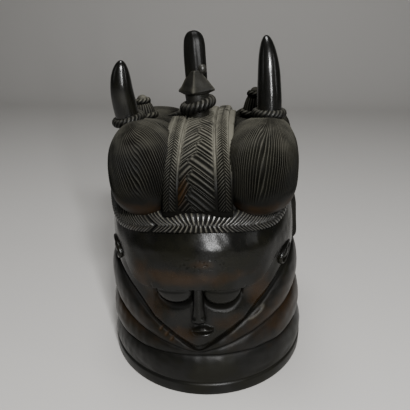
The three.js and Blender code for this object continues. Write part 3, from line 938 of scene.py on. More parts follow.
@dataclass
class Block:
    """The block: neck rolls and rim outside, the hollow inside, and a hidden upper skin.

    A degree is measured in millimetres round the neck. Places are an angle and a height.
    """

    head: Head
    columns: int = 420
    wall: float = 14.0
    roof_wall: float = 16.0
    shoulder_share: float = 0.8
    hidden_depth: float = 5.4
    depth_under_face: float = 9.4
    ledge: float = 0.8
    low_roll_share: float = 0.6
    degree: float = 1.76
    scar_place: Pair = (34.3, 81.6)
    scar_halves: Pair = (9.5, 3.0)
    scar_rise: float = 0.45
    scar_depth: float = 0.3
    flake_places: tuple[Pair, ...] = ((-21.6, 69.2), (-18.2, 64.2), (-15.2, 59.8))
    flake_halves: Pair = (2.3, 0.9)
    flake_depth: float = 1.3

    @property
    def roof(self) -> float:
        """The height of the hollow's top."""
        return self.head.height - self.roof_wall

    def outside(self, angle: Array) -> tuple[Array, Array]:
        """The outer skin's heights and relief, row by row from the crown to the rim's underside.

        Args:
            angle: Degrees from the face, positive to the viewer's right.

        Returns:
            Heights and relief, each in rows.
        """
        head, level = self.head, np.zeros_like(angle)
        jaw, second, low = head.jaw(angle), head.second(angle), head.low(angle)
        t = np.linspace(0.12, 1, 8)[:, None]
        fall = (head.height - head.hairline) * (1 - np.cos(t * math.pi / 2))
        bands = [(head.height - fall + level, level - self.hidden_depth * ramp(2 * t))]
        t = np.linspace(0, 1, 9)[1:, None]
        under_face = ramp(4 * t) * (1 - ramp((np.abs(angle) - 78) / 8))
        sunk = -lerp(self.hidden_depth, self.depth_under_face, under_face)
        bands.append((lerp(head.hairline, jaw + self.ledge, t), sunk))
        for high, foot, base, rows, depth in [
            (jaw, second, second, 34, head.roll_depth),
            (second, low, low, 34, head.roll_depth),
            (low, RIM_BAND + head.rim_flange, RIM_BAND, 26, self.low_roll_share * head.roll_depth),
        ]:
            t = 0.5 - 0.5 * np.cos(math.pi * np.linspace(0, 1, rows)[:, None])
            z = lerp(high, foot, 0.004 + 0.992 * t)
            bands.append((z, head.roll(z, base, high, depth)))
        rim = np.array(
            [
                (RIM_BAND + 1.6, 0.5),
                (RIM_BAND + 0.4, head.rim_flange - 0.9),
                (RIM_BAND - 0.6, head.rim_flange - 0.15),
                (RIM_BAND - 2.0, head.rim_flange),
                (5.0, head.rim_flange),
                (1.2, head.rim_flange),
                (0.3, head.rim_flange - 0.3),
                (0.0, head.rim_flange - 1.1),
            ]
        )
        bands.append((rim[:, :1] + level, rim[:, 1:] + level))
        return tuple(np.concatenate(rows) for rows in zip(*bands))

    def inside(self, angle: Array) -> tuple[Array, Array, Array]:
        """The hollow's heights, relief and share of its plan, from the rim up to its top.

        Args:
            angle: Degrees from the face, positive to the viewer's right.

        Returns:
            Heights, relief and shares, each in rows.
        """
        shoulder = self.shoulder_share * self.roof
        straight = np.concatenate([[0.0, 1.0], np.linspace(4, shoulder, 25)])
        quarter = np.linspace(0, math.pi / 2, 14)[1:-1]
        z = np.concatenate([straight, shoulder + (self.roof - shoulder) * np.sin(quarter)])
        share = np.concatenate([np.ones(len(straight)), np.cos(quarter)])
        out = np.where(z < 1.0, -0.8, 0.0) - self.wall
        return tuple(rows[:, None] + 0 * angle for rows in (z, out, share))

    def scar(self, angle: Array, z: Array) -> tuple[Array, Array]:
        """The lens-shaped scar under the right cheek: its raised edge and its inside.

        Args:
            angle: Degrees from the face, positive to the viewer's right.
            z: The points' heights.

        Returns:
            Both, from 0 to 1.
        """
        x, up = (angle - self.scar_place[0]) * self.degree, z - self.scar_place[1]
        along, across = slanted(x, up, 0.87, 0.49)
        lens = np.hypot(along / self.scar_halves[0], across / self.scar_halves[1])
        return hill((lens - 1) / 0.22), ramp((1 - lens) / 0.5)

    def flakes(self, angle: Array, z: Array) -> Array:
        """Three slanting chips along the left jaw, each a small ellipse.

        Args:
            angle: Degrees from the face, positive to the viewer's right.
            z: The points' heights.

        Returns:
            1 in the middle of a chip, and 0 away from all.
        """
        total = np.zeros(z.shape)
        for a, height in self.flake_places:
            along, across = slanted((angle - a) * self.degree, z - height, 0.5, 0.87)
            total += hill(np.hypot(along / self.flake_halves[0], across / self.flake_halves[1]))
        return total

    def build(self) -> Form:
        """Joins the outer skin to the hollow at the rim's underside, with adze marks inside.

        Returns:
            The closed form.
        """
        head, plain = self.head, circle(self.columns) - math.pi
        angle = np.degrees(plain - 0.5 * np.sin(plain))
        z, out = self.outside(angle)
        skin = head.on(angle, z, 0)
        neck = ramp((z - RIM_BAND - 3) / 6) * (z < head.jaw(angle))
        out = out + neck * (0.35 * unevenness(skin, 42, 3) + 0.14 * unevenness(skin, 13, 4) - 0.4)
        scar, hollow = self.scar(angle, z)
        flakes = self.flakes(angle, z)
        out = out + self.scar_rise * scar - self.scar_depth * hollow - self.flake_depth * flakes
        outer = head.on(angle, z, out)
        in_z, in_out, share = self.inside(angle)
        wall = head.on(angle, np.minimum(in_z, self.shoulder_share * self.roof), in_out)
        wall[..., :2] *= share[..., None]
        wall[..., 2] = in_z
        adze = np.abs(unevenness(wall, 24, 5)) * ramp(in_z / 8)
        wall[..., :2] *= (1 + 0.008 * (adze - 0.6))[..., None]
        rings = np.concatenate([outer, wall])
        lines = np.minimum.reduce([np.abs(z - f(angle)) for f in (head.jaw, head.second, head.low)])
        blank = np.zeros(in_z.shape)
        # Painted shade along the creases between the neck rolls.
        cut = np.concatenate([0.75 * hill(lines / 1.3) * (z > RIM_BAND + 2), blank])
        height = rings[..., 2]
        wear = 0.55 * hill((height - 70) / 40) * hill((np.abs(angle) - 62) / 30)
        wear = wear + 0.38 * hill((height - 66) / 26) * hill(angle / 44)
        wear[: len(outer)] += 1.3 * flakes
        wear[len(outer) :] = 0.6
        # The scar's raised edge takes the pale dust colour as a painted highlight; the chips get a
        # little real dust.
        dust = np.concatenate([0.3 * scar + 0.08 * flakes, blank])
        tones = {"cut": cut, "wear": wear, "dust": dust}
        return Form.capped(rings, vec(0, 0, head.height), vec(0, 0, self.roof), tones)


@dataclass
class Face:
    """The face: forehead, closed eyes, nose, mouth and chin, carved in one skin over the block."""

    head: Head
    half_angle: float = 87.0
    turn: float = 1.0
    columns: int = 391
    rows: int = 221
    step: int = 10
    eye_angle: float = 14.6
    eye_half_angle: float = 11.4
    eye_drop: float = 13.4
    eye_shares: Pair = (0.461, 0.455)
    slit_drops: Pair = (0.6, 2.4)
    lid_rise: float = 6.3
    lid_sink: float = 3.5
    slit_half: float = 1.9
    slit_depth: float = 4.6
    lower_rim: float = 0.8
    nose_width: float = 17.0
    nose_tip: float = 0.325
    nose_rise: float = 11.0
    nose_sink: float = 3.0
    slit_sag: float = 0.92
    corner_lifts: Pair = (3.0, -1.2)
    mouth_share: float = 0.29
    mouth_sag: float = 0.8
    mouth_turn: float = 2.9
    mouth_half_angle: float = 6.2
    lip_heights: Pair = (4.8, 6.6)
    lip_gap: float = 0.9
    lip_rise: float = 5.4
    hairline_recess: float = 3.7
    inner_depth: float = 11.0
    wing_place: Pair = (6.2, 5.0)
    wing_size: float = 3.0
    nostril_place: Pair = (3.6, 0.6)
    nostril_size: float = 1.6
    nostril_depth: float = 1.8
    parting_depth: float = 0.9
    under_nose_depth: float = 0.8
    jaw_cut_depths: Pair = (2.2, 0.6)
    jaw_cut_darks: Pair = (0.9, 0.6)
    dent_depth: float = 0.8

    @property
    def degree(self) -> float:
        """Millimetres across the face for one degree."""
        return math.radians(0.45 * self.head.rim_width)

    def across(self, angle: Array) -> Array:
        """Millimetres from the middle of the face."""
        return self.degree * (angle - self.turn)

    def mouth(self, angle: Array) -> tuple[Array, Array]:
        """The share across the mouth, from -1 to 1, and the height of the line between the lips."""
        a = (angle - self.mouth_turn) / self.mouth_half_angle
        return a, self.mouth_share * self.head.height + self.mouth_sag * a * a

    def eye(self, side: Side, angle: Array, z: Array, ground: Array) -> tuple[Array, Array]:
        """Adds an eye: a domed lid, the slit under it, and the lower lid's soft rim.

        The lid is an ellipsoid, the slit a V along a sagging line, and the rim a crescent under it.

        Args:
            side: Which eye.
            angle: The points' angles.
            z: Their heights.
            ground: The relief so far.

        Returns:
            The new relief, and the slit's depth together with the painted shade below the slit,
            round the lid and under the brow.
        """
        s = (side.value * (angle - self.turn) - self.eye_angle) / self.eye_half_angle
        middle = side.pick(self.eye_shares) * self.head.height
        half = self.eye_half_angle * self.degree
        up = (z - middle) / (1.05 * self.eye_drop)
        dome = np.sqrt(np.maximum(0, 1 - s * s - up * up))
        lid = np.where(dome > 0, self.lid_rise * dome - self.lid_sink, NOWHERE)
        inner = np.clip(s, -1, 1)
        root = np.sqrt(1 - self.slit_sag * inner**2)
        corner = np.where(inner > 0, *self.corner_lifts) * inner**2
        drop = self.eye_drop + side.pick(self.slit_drops)
        line = middle + 0.5 - drop * root + corner
        slope = drop * self.slit_sag * inner / root + 2 * corner / np.where(inner == 0, 1, inner)
        away = (z - line) / np.hypot(1, slope / half)
        beyond = np.maximum(0, np.abs(s) - 1) * half
        relief = soft_max(ground, lid, 0.35)
        below = -away - self.slit_half
        crescent = ramp((below + 0.8) / 5.6) * (1 - ramp((below - 5.5) / 12))
        crescent = crescent * hill(beyond / 5) * (0.4 + 0.6 * np.sqrt(1 - 0.9 * inner**2))
        relief = relief + self.lower_rim * crescent
        cut = hill(np.hypot(away, beyond) / self.slit_half)
        # Painted shade: darkened below the slit, in a ring round the lid and in a band under the
        # brow.
        wall = 0.75 * hill((below - 0.3) / 2.5) * hill(beyond / 3)
        under_brow = self.head.brow(angle) - z
        painted_border_shade = 0.55 * hill((np.hypot(s, up) - 1) / 0.13) * (z > line) * ramp((under_brow + 1) / 2)
        painted_border_shade = np.maximum(painted_border_shade, 0.7 * hill((under_brow - 0.4) / 1.3) * hill((s / 0.85) ** 4))
        dark = np.maximum.reduce([np.minimum(1, 1.5 * cut), wall, painted_border_shade])
        return relief - self.slit_depth * cut, dark

    def nose(self, angle: Array, z: Array) -> Array:
        """A long narrow nose: half ellipses that widen and rise to the tip, with small wings.

        Args:
            angle: Degrees from the face, positive to the viewer's right.
            z: The points' heights.

        Returns:
            The nose's relief, or NOWHERE beside it.
        """
        top, tip = 0.5 * self.head.height, self.nose_tip * self.head.height
        t = np.clip((top - z) / (top - tip), 0, 1)
        x = self.across(angle)
        end = np.sqrt(np.maximum(0, 1 - (2 * t - 1) ** 8))
        half = np.maximum(0.01, lerp(0.28, 0.5, t * t) * self.nose_width * end)
        rise = lerp(0.25, 1, t) * self.nose_rise * end
        ridge = rise * np.maximum(0, 1 - (x / half) ** 2) ** 0.6 - self.nose_sink
        (wing_x, wing_up), (hole_x, hole_up) = self.wing_place, self.nostril_place
        wing = np.hypot(np.abs(x) - wing_x, 0.9 * (z - tip - wing_up)) / self.wing_size
        hole = np.hypot(np.abs(x) - hole_x, 1.2 * (z - tip - hole_up)) / self.nostril_size
        there = (z > tip - 1) & (z < top + 1) & (np.abs(x) < half)
        beside = self.wing_size * hill(wing) - self.nostril_depth * hill(hole)
        return np.where(there, ridge, NOWHERE) + beside

    def lips(self, angle: Array, z: Array) -> Array:
        """Two small full lips, each half an ellipsoid; the upper one has a point in the middle.

        Args:
            angle: Degrees from the face, positive to the viewer's right.
            z: The points' heights.

        Returns:
            The lips' relief, or NOWHERE beside them.
        """
        a, line = self.mouth(angle)
        reach = np.sqrt(np.maximum(0, 1 - a * a))
        both = np.full_like(z, NOWHERE)
        for up, height, slope in ((-1, self.lip_heights[0], 0.1), (1, self.lip_heights[1], 0.55)):
            peak = (1 - slope * np.abs(a)) * (1 - 0.12 * (up > 0) * hill(a / 0.12))
            high = np.maximum(0.01, 0.5 * height * reach**0.7 * peak)
            centre = line + up * (high + 0.5 * self.lip_gap)
            dome = np.sqrt(np.maximum(0, 1 - ((z - centre) / high) ** 2)) * (reach > 0)
            lip = self.lip_rise * reach * dome + 0.5 + 0.3 * (up + 1)
            both = np.maximum(both, np.where(dome > 0, lip, NOWHERE))
        return both

    def relief(self, angle: Array, z: Array) -> tuple[Array, Array, Array]:
        """The whole relief of the face, with its cuts and its worn places.

        Args:
            angle: The points' angles.
            z: Their heights.

        Returns:
            The relief, the cuts with their painted shade from 0 to 1, and the wear from 0 to 1.
        """
        skin = self.head.on(angle, z, 0)
        out = self.head.face_relief(angle, z)
        out = out + 0.30 * unevenness(skin, 46, 11) + 0.10 * unevenness(skin, 14, 12)
        under_band = ramp((z - self.head.band_line(angle) + 28) / 22)
        out = out - self.hairline_recess * under_band * (1 - ramp((np.abs(angle) - 50) / 25))
        cut = np.zeros_like(z)
        for side in Side:
            out, slit = self.eye(side, angle, z, out)
            cut = np.maximum(cut, slit)
        out = soft_max(out, self.nose(angle, z), 0.45)
        out = soft_max(out, self.lips(angle, z), 0.3)
        parting, under_nose, beside = self.shades(angle, z)
        out = out - self.parting_depth * parting - self.under_nose_depth * under_nose
        # Painted shade in the lips' parting, under the nose and beside it.
        cut = np.maximum.reduce([cut, 0.8 * parting, under_nose, beside])
        out, cut, bare = self.marks(angle, z, out, cut)
        return out, cut, np.maximum(bare, self.wear(angle, z))

    def shades(self, angle: Array, z: Array) -> tuple[Array, Array, Array]:
        """The parting of the lips and the hollow under the nose, each a shallow dip with painted
        shade, and the painted shade beside the nose.

        Args:
            angle: Degrees from the face, positive to the viewer's right.
            z: The points' heights.

        Returns:
            The three, from 0 to 1.
        """
        a, line = self.mouth(angle)
        parting = hill((z - line) / 0.9) * (np.abs(a) < 0.96)
        x, over_tip = self.across(angle), z - self.nose_tip * self.head.height
        under_nose = 0.95 * hill((over_tip + 1.2) / 2.6) * hill(x / 7)
        beside = 0.55 * hill((np.abs(x) - 0.42 * self.nose_width) / 1.6)
        beside = beside * ramp((over_tip + 2) / 4) * ramp((0.5 * self.head.height - z) / 6)
        return parting, under_nose, beside

    def marks(self, angle: Array, z: Array, out: Array, cut: Array) -> tuple[Array, Array, Array]:
        """Old damage: a cut along the jaw and chips in the forehead.

        Args:
            angle: Degrees from the face, positive to the viewer's right.
            z: The points' heights.
            out: The relief so far.
            cut: The cuts so far.

        Returns:
            The new relief, the new cuts with their painted shade, and the bare wood from 0 to 1.
        """
        over_jaw = z - self.head.jaw(angle)
        jaw_cut = hill((over_jaw + 0.2) / 1.9) * ramp((np.abs(angle) - 3) / 4)
        out = out - np.where(angle < 0, *self.jaw_cut_depths) * jaw_cut
        # Painted shade in the jaw's cut.
        cut = np.maximum(cut, np.where(angle < 0, *self.jaw_cut_darks) * jaw_cut)
        place = self.head.on(angle, z, 0)
        specks = hill((angle - 4) / 11) * hill((z - 147) / 5.5)
        dents = specks * ramp(unevenness(place, 5.0, 22, 14) * 1.8 - 0.7)
        # The dents get painted shade; the wood round them is brown.
        return out - self.dent_depth * dents, np.maximum(cut, 0.6 * dents), 0.5 * specks

    def wear(self, angle: Array, z: Array) -> Array:
        """Brown where hands have rubbed: the low forehead, cheeks, chin and temples.

        Args:
            angle: Degrees from the face, positive to the viewer's right.
            z: The points' heights.

        Returns:
            The wear from 0 to 1.
        """
        spots = [
            (-12, 131, 24, 10, 0.80),
            (12, 131, 22, 9, 0.62),
            (-33, 126, 9, 24, 0.72),
            (-26, 96, 12, 28, 0.58),
            (-8, 66, 12, 13, 0.60),
            (38, 104, 12, 30, 0.62),
            (18, 78, 18, 14, 0.48),
            (62, 122, 12, 12, 0.35),
        ]
        rubbed = [share * hill((angle - a) / w) * hill((z - h) / r) for a, h, w, r, share in spots]
        return np.maximum.reduce(rubbed)

    def build(self) -> Form:
        """Lays the relief over the block from temple to temple and from the jaw to the hairline.

        Returns:
            The closed form.
        """

        def density(a: Array) -> Array:
            """Closer columns over the eyes, nose and mouth."""
            return 1 + 2.4 * hill((np.abs(a) / 30) ** 2)

        angle = spread(-self.half_angle, self.half_angle, self.columns, density)
        foot, top = self.head.jaw(angle), self.head.band_line(angle) + 2
        z = lerp(foot, top, np.linspace(0, 1, self.rows)[:, None])
        angle = np.broadcast_to(angle, z.shape)
        out, cut, wear = self.relief(angle, z)
        outer = self.head.on(angle, z, out)
        inner = self.head.on(angle, z, -self.inner_depth)[:: self.step, :: self.step]
        return Form.slab(outer, inner, self.step, {"cut": cut, "wear": wear})


@dataclass
class BackHair:
    """The combed hair between the ears round the nape, cut in upright strokes."""

    head: Head
    start: float = 84.0
    right_bulge: float = 3.0
    edge_width: float = 11.0
    pitch: float = 3.2
    per_stroke: int = 7
    rows: int = 29
    step: int = 7
    depth: float = 0.9
    inner_depth: float = 6.0

    def build(self) -> Form:
        """Lays strokes along the columns of a skin that stands out over the nape.

        Returns:
            The closed form.
        """
        length = (360 - 2 * self.start) * math.radians(0.45 * self.head.rim_depth)
        columns = round(length / self.pitch) * self.per_stroke + 1
        angle = np.linspace(self.start, 360 - self.start, columns)
        signed = (angle + 180) % 360 - 180
        t = np.linspace(0, 1, self.rows)[:, None]
        z = lerp(self.head.jaw(signed) + 0.6, self.head.hairline + 16, t)
        cut, tone, ridge = strokes(np.arange(columns) / self.per_stroke + 0 * z, 31)
        fade = ramp((t - 0.03) / 0.06)
        edge = ramp((180 - np.abs(180 - angle) - self.start) / self.edge_width)
        right = ramp((150 - angle) / 40) * ramp((z - 96) / 30) * ramp((192 - z) / 30)
        rise = self.head.nape_rise + self.right_bulge * right
        out = rise * edge * ramp(t * (z[-1] - z[0]) / 4 + 0.1) - 0.7 * (1 - edge)
        out = out + 0.3 * unevenness(self.head.on(signed, z, 0), 40, 32) - self.depth * cut * fade
        inner = self.head.on(signed, z, -self.inner_depth)[:: self.step, :: self.step]
        # Painted shade in the strokes' cuts; the pale ridges are partly dust and partly a painted
        # highlight.
        tones = {"cut": tone * fade, "ridge": ridge * fade}
        return Form.slab(self.head.on(signed, z, out), inner, self.step, tones)


@dataclass
class Ear:
    """An oval ear in relief: a rolled rim, a groove inside it and a raised middle."""

    head: Head
    side: Side
    angle: float = 63.0
    shares: Pair = (0.561, 0.533)
    half_height: float = 10.5
    half_angle: float = 7.5
    slant: float = 0.42
    rise: float = 3.4

    def place(self, across: Array, up: Array, out: Array) -> Array:
        """Points in the ear's own directions: across it, up it and out of the head.

        Args:
            across: Shares of the half width, towards the nape.
            up: Shares of the half height.
            out: Millimetres out of the head.

        Returns:
            The points.
        """
        middle = self.side.pick(self.shares) * self.head.height
        angle = self.side.value * (self.angle + self.half_angle * across)
        return self.head.on(angle, middle + self.half_height * up, out)

    def build(self) -> Form:
        """A ring of round section, slanted as the ear is, with a dome inside it.

        Returns:
            The closed form.
        """
        turn, section = circle(104)[None, :], circle(20)[:, None]
        wide, high = np.cos(turn), np.sin(turn)
        r = 0.86 + 0.15 * np.cos(section) + 0.02 * np.sin(3 * turn)
        rise = self.rise * (0.66 - 0.34 * wide)
        across = 1.05 * r * wide + self.slant * high
        rim = self.place(across, r * high, 0.3 + rise * np.sin(section))
        # Painted shade on the inner side of the rim, in the groove.
        groove = 0.9 * ramp(-np.cos(section)) * ramp(1.2 - np.sin(section)) + 0 * turn
        along = math.pi * np.linspace(0.02, 0.98, 30)[:, None]
        r, up = np.sin(along), np.cos(along)
        across = 0.42 * r * wide + 0.5 * self.slant * up
        dome = self.place(across, 0.55 * up, 0.85 * self.rise * r * high)
        ends = [self.place(0.5 * self.slant * k, 0.55 * k, 0.0) for k in (1, -1)]
        return Form.looped(rim, {"cut": groove}).joined(Form.capped(dome, *ends, {}))


# ---------------------------------------------------------------- the hair


HAIR_MIDDLE = 7.5
LOBE_POWER = 0.77
LOBE_TILT = 0.1


@dataclass
class HairlineBraid:
    """The braided band over the forehead: two rows of strokes that slant away from its middle."""

    head: Head
    reach: float = 84.0
    half_height: float = 10.5
    rise: float = 6.5
    pitch: float = 3.8
    per_stroke: int = 10
    depth: float = 1.9
    radius_share: float = 0.455
    crack_depth: float = 3.4
    chip_depth: float = 2.0

    def build(self) -> Form:
        """A half-round bar along the hairline, its columns sheared to lie along the strokes.

        Returns:
            The closed form.
        """
        radius = self.radius_share * self.head.rim_width
        count = round(2 * math.radians(self.reach) * radius / self.pitch)
        columns = count * self.per_stroke + 1
        plain = np.linspace(-self.reach, self.reach, columns)[:, None]
        turn = circle(28)[None, :]
        a = np.abs(plain)
        size = 1 - 0.4 * ramp((a - 50) / (self.reach - 50))
        size = size * np.sqrt(np.clip((self.reach - a) / 5, 0, 1))
        up, face = np.sin(turn), np.cos(turn)
        face = np.where(face > 0, face, np.maximum(-1.1, 1.6 * face))
        lean = np.where(up > 0, 1.55, 1.15) * np.clip((plain - 4) / 16, -1, 1)
        angle = plain + np.degrees(lean * np.abs(up) * self.half_height * size / radius)
        phase = np.arange(columns)[:, None] / self.per_stroke + 0.5 * (up < 0)
        cut, tone, ridge = strokes(phase, 41, 0.66)
        seen = ramp((face + 0.35) / 0.5)
        crack = hill((plain + 20.4 + 1.2 * up) / 1.3) * ramp(face + 0.5)
        chip = hill((plain + 8.5) / 3.4) * hill((up - 0.8) / 0.4) * ramp(face + 0.5)
        crease = 0.5 * hill(up / 0.08) * ramp(face)
        out = (self.rise - self.depth * cut * seen - crease) * size * face - 1.0 - 2 * (1 - size)
        out = out - self.crack_depth * crack - self.chip_depth * chip
        z = self.head.band_line(plain) + self.half_height * size * up
        front = ramp((54 - np.abs(plain + 4)) / 18)
        dust = 0.05 * seen * (up > -0.1) * (1 - crack) * front + 0.22 * chip
        # Painted light and shade: the pale ridges are brightest on the upper row and in the middle
        # front, where the light falls, and the cuts and the crack are painted dark.
        pale = (0.35 + 0.65 * front) * lerp(0.55, 1.0, (up + 1) / 2)
        tones = {
            "cut": np.maximum(tone * seen, crack),
            "wear": 0.5 * hill((plain + 34) / 12) * (up < 0),
            "dust": dust * (1 - 0.8 * tone),
            "ridge": ridge * seen * (1 - crack) * pale,
        }
        end, level = self.reach + 0.4, self.head.band_line(self.reach)
        ends = [self.head.on(k * end, level, -2.5) for k in (-1, 1)]
        return Form.capped(self.head.on(angle, z, out), *ends, tones)


@dataclass
class Lobe:
    """A full dome of hair whose flutes run down from the seat of the horn or knot on top of it."""

    side: Side
    middle: Array
    half: Array
    under: float
    seats: tuple[Array, Array]
    flutes: int
    fade_at: float
    rows: int = 68
    per_flute: int = 8
    depth: float = 1.5

    @property
    def axis(self) -> Array:
        """The direction from the lobe's middle to its seat."""
        return self.side.pick(self.seats)

    @property
    def seat(self) -> Array:
        """Where the horn or knot stands."""
        return self.on(self.axis)

    def on(self, direction: Array, scale: Array | float = 1.0) -> Array:
        """The lobe's point in a direction from its middle, each axis made fuller by a power.

        Args:
            direction: Directions in the lobe's own axes.
            scale: A factor on its size.

        Returns:
            The points.
        """
        dx, dy, dz = np.moveaxis(full(normalised(direction), LOBE_POWER), -1, 0)
        x, y = scale * self.half[0] * dx, scale * self.half[1] * dy
        z = scale * np.where(dz > 0, self.half[2], self.under) * dz
        across = HAIR_MIDDLE + self.side.value * (self.middle[0] + x)
        return np.stack([across, self.middle[1] + y, self.middle[2] + z + LOBE_TILT * x], -1)

    def build(self) -> Form:
        """Meridians from the seat to the far end, several of them to a flute.

        Returns:
            The closed form.
        """
        columns = self.flutes * self.per_flute
        turn = self.side.value * circle(columns)[None, :]
        along = np.linspace(0.01, 0.99, self.rows)[:, None]
        polar = math.pi * along
        wobble = 0.010 * np.sin(4 * polar + 3 * turn) + 0.003 * np.sin(11 * polar + 7 * turn)
        x, y = np.sin(polar) * np.cos(turn + wobble), np.sin(polar) * np.sin(turn + wobble)
        direction = placed(np.zeros(3), axes_along(self.axis), x, y, np.cos(polar))
        phase = np.arange(columns)[None, :] / self.per_flute + 0 * along
        cut, tone, ridge = strokes(phase, 51 + self.flutes + self.side.value, 0.8)
        base = self.on(direction)
        low = self.middle[2] - self.fade_at * self.under
        over_edge = base[..., 2] - low - 5 * unevenness(base, 60, 55)
        fade = ramp((along - 0.05) / 0.06) * ramp(over_edge / 12)
        fade = fade * (0.75 + 0.25 * unevenness(base, 30, 56))
        grow = 0.3 * unevenness(base, 34, 57) - 0.2
        point = self.on(direction, 1 + (grow - self.depth * cut * fade) / self.half[2])
        worn = ramp((8 - over_edge) / 14) * ramp((-base[..., 1] - 10) / 30)
        shown = np.clip(fade, 0, 1)
        # Painted light: the pale ridges, partly dust and partly a painted highlight, fade lower
        # down; the flutes' cuts get painted shade.
        lit = 0.4 + 0.6 * ramp((base[..., 2] - 200) / 55)
        tones = {"cut": tone * shown, "wear": 0.5 * worn, "ridge": ridge * shown * lit}
        return Form.capped(point, self.seat, self.on(-self.axis), tones)


@dataclass
class Arch:
    """The arch that the braids follow from the hairline over the crown to the nape."""

    half_depth: float = 0.425 * RIM_DEPTH
    top: float = 1.1 * HEAD_HEIGHT
    foot: float = 0.76 * HEAD_HEIGHT
    start: float = 0.035
    power: float = 0.8
    middle: float = HAIR_MIDDLE - 3.0

    def on(self, t: Array, x: Array, lift: Array) -> Array:
        """Points at a share along the arch, beside it and above it, on a fuller half ellipse.

        Args:
            t: Shares along the arch, from the hairline to the nape.
            x: Distances to the viewer's right of its middle.
            lift: Distances out of it.

        Returns:
            The points.
        """
        t, x, lift = np.broadcast_arrays(t, x, lift)
        turn, rise = math.pi * lerp(self.start, 1 - self.start, t), self.top - self.foot
        y = -self.half_depth * full(np.cos(turn), self.power)
        up = rise * full(np.sin(turn), self.power)
        out = normalised(np.stack([y / self.half_depth, up / rise], -1)) * lift[..., None]
        return np.stack([self.middle + x, y + out[..., 0], self.foot + up + out[..., 1]], -1)

    def even(self, count: int, extra: float) -> Array:
        """Shares along the arch at equal distances, from before its start to past its end.

        Args:
            count: How many shares.
            extra: The share past either end.

        Returns:
            The shares.
        """
        fine = np.linspace(-extra, 1 + extra, 3001)
        steps = np.linalg.norm(np.diff(self.on(fine, 0, 0), axis=0), axis=1)
        total = np.concatenate([[0], np.cumsum(steps)])
        return np.interp(np.linspace(0, total[-1], count), total, fine)


@dataclass
class CrownBraid:
    """A braid over the crown, cut in a herringbone that runs down and out from its middle."""

    arch: Arch
    place: int
    middle_half: float = 18.5
    side_half: float = 6.5
    gap: float = 1.0
    rise: float = 5.0
    pitch: float = 3.9
    plait: float = 22.0
    length: float = 322.0
    under: float = 16.0
    per_stroke: int = 8
    depth: float = 1.5

    def build(self) -> Form:
        """Rows follow the chevrons, sheared by the distance from the wandering middle line.

        Returns:
            The closed form.
        """
        broad = self.place == 0
        count = round(self.length / (self.pitch if broad else 0.88 * self.pitch))
        rows = count * self.per_stroke + 1
        t = self.arch.even(rows, 0.03)[:, None]
        front = t < 0.5
        q = full(np.linspace(-1, 1, 31 if broad else 19)[None, :], 0.9)
        half_here = self.middle_half * (1 - 0.22 * np.sin(np.pi * np.clip(t, 0, 1)) ** 2)
        middle = self.place * (half_here + self.gap + self.side_half)
        if broad:
            half, steep, edge, fuzz_edge = half_here, 1.0, 0.14, 0.16
            drift = -8.5 * ramp((0.27 - t) / 0.08) + 1.5 * np.sin(9 * t)
            apex = np.where(front, drift, 1.5 * np.sin(14 * t))
            apex = apex + 2.4 * np.sin(TURN * self.length * t / self.plait)
        else:
            half, steep, edge, fuzz_edge = self.side_half + 0 * t, 1.45, 0.34, 0.36
            apex = 0.9 * np.sin(11 * t + self.place)
        x = apex + q * (half - np.sign(q) * apex)
        patch = broad * hill((x + 14) / 8) * hill((t - 0.1) / 0.06) * front
        shear = (steep + 0.9 * patch) * np.abs(x - apex) / self.length * np.where(front, 1, -1)
        along = t - shear * (0.25 + 0.75 * ramp(np.abs(t - 0.5) / 0.10))
        phase = np.arange(rows)[:, None] / self.per_stroke + 0.5 * (q > 0)
        cut, tone, ridge = strokes(phase, 61 + self.place, 0.66)
        side = x / np.maximum(half, 1)
        seam = 0.7 * (not broad) * hill((x - apex) / 0.7)
        place = self.arch.on(along, middle + x, 0)
        height = place[..., 2]
        high = ramp((height - 222) / 34)
        hold = ramp((1 - np.abs(side)) / lerp(0.05, edge, high))
        hold = hold * lerp(1.0, 0.85, ramp((height - 240) / 26))
        dome = np.sqrt(np.maximum(0, 1 - side**2)) ** lerp(0.8, 0.3, high)
        lift = self.rise * dome - self.depth * cut * hold - 0.6 * seam * hold
        lift = lift + 0.25 * unevenness(place, 20, 62) - 9.0 * ramp((200.5 - height) / 5)
        skin = self.arch.on(along, middle + x, lift)
        under = self.arch.on(t, middle + np.linspace(1, -1, 5)[None, :] * half, -self.under)
        fuzz = 0.6 * hill((1 - np.abs(side)) / fuzz_edge) * ramp((height - 226) / 24)
        # Painted light: the pale ridges, partly dust and partly a painted highlight, fade lower
        # down; the cuts and the seam get painted shade.
        lit = 0.45 + 0.55 * ramp((height - 205) / 30)
        seen = {
            "cut": np.maximum(tone, seam) * hold * (1 - 0.7 * np.minimum(1, 2 * fuzz)),
            "wear": 0.9 * patch * (x < apex),
            "dust": fuzz,
            "ridge": ridge * hold * (1 - patch) * lit,
        }
        blank = np.zeros(under.shape[:2])
        tones = {key: np.concatenate([v, blank], 1) for key, v in seen.items()}
        return Form.closed(np.concatenate([skin, under], 1), tones)


@dataclass
class HairGround:
    """The plain ground between the braids and the lobes."""

    arch: Arch
    half: float = 33.5

    def build(self) -> Form:
        """A low arch-shaped bar under the braids, with soft fillets showing in the gaps.

        Returns:
            The closed form.
        """
        t = self.arch.even(180, 0.02)[:, None]
        q = np.linspace(-1, 1, 41)[None, :]
        skin = self.arch.on(t, self.half * q, 1.1 + 0.25 * np.sin(40 * q) - 2.5 * np.abs(q) ** 6)
        under = self.arch.on(t, self.half * q[:, ::-8], -22.0)
        ring = np.concatenate([skin, under], 1)
        # Painted shade on the ground's lower part, between the braids and the lobes; dust on its
        # upper part.
        low, high = ramp((226 - ring[..., 2]) / 16), ramp((ring[..., 2] - 226) / 24)
        return Form.closed(ring, {"cut": 0.9 * low, "dust": 0.45 * high})


# ---------------------------------------------------------------- horns, cords and amulet


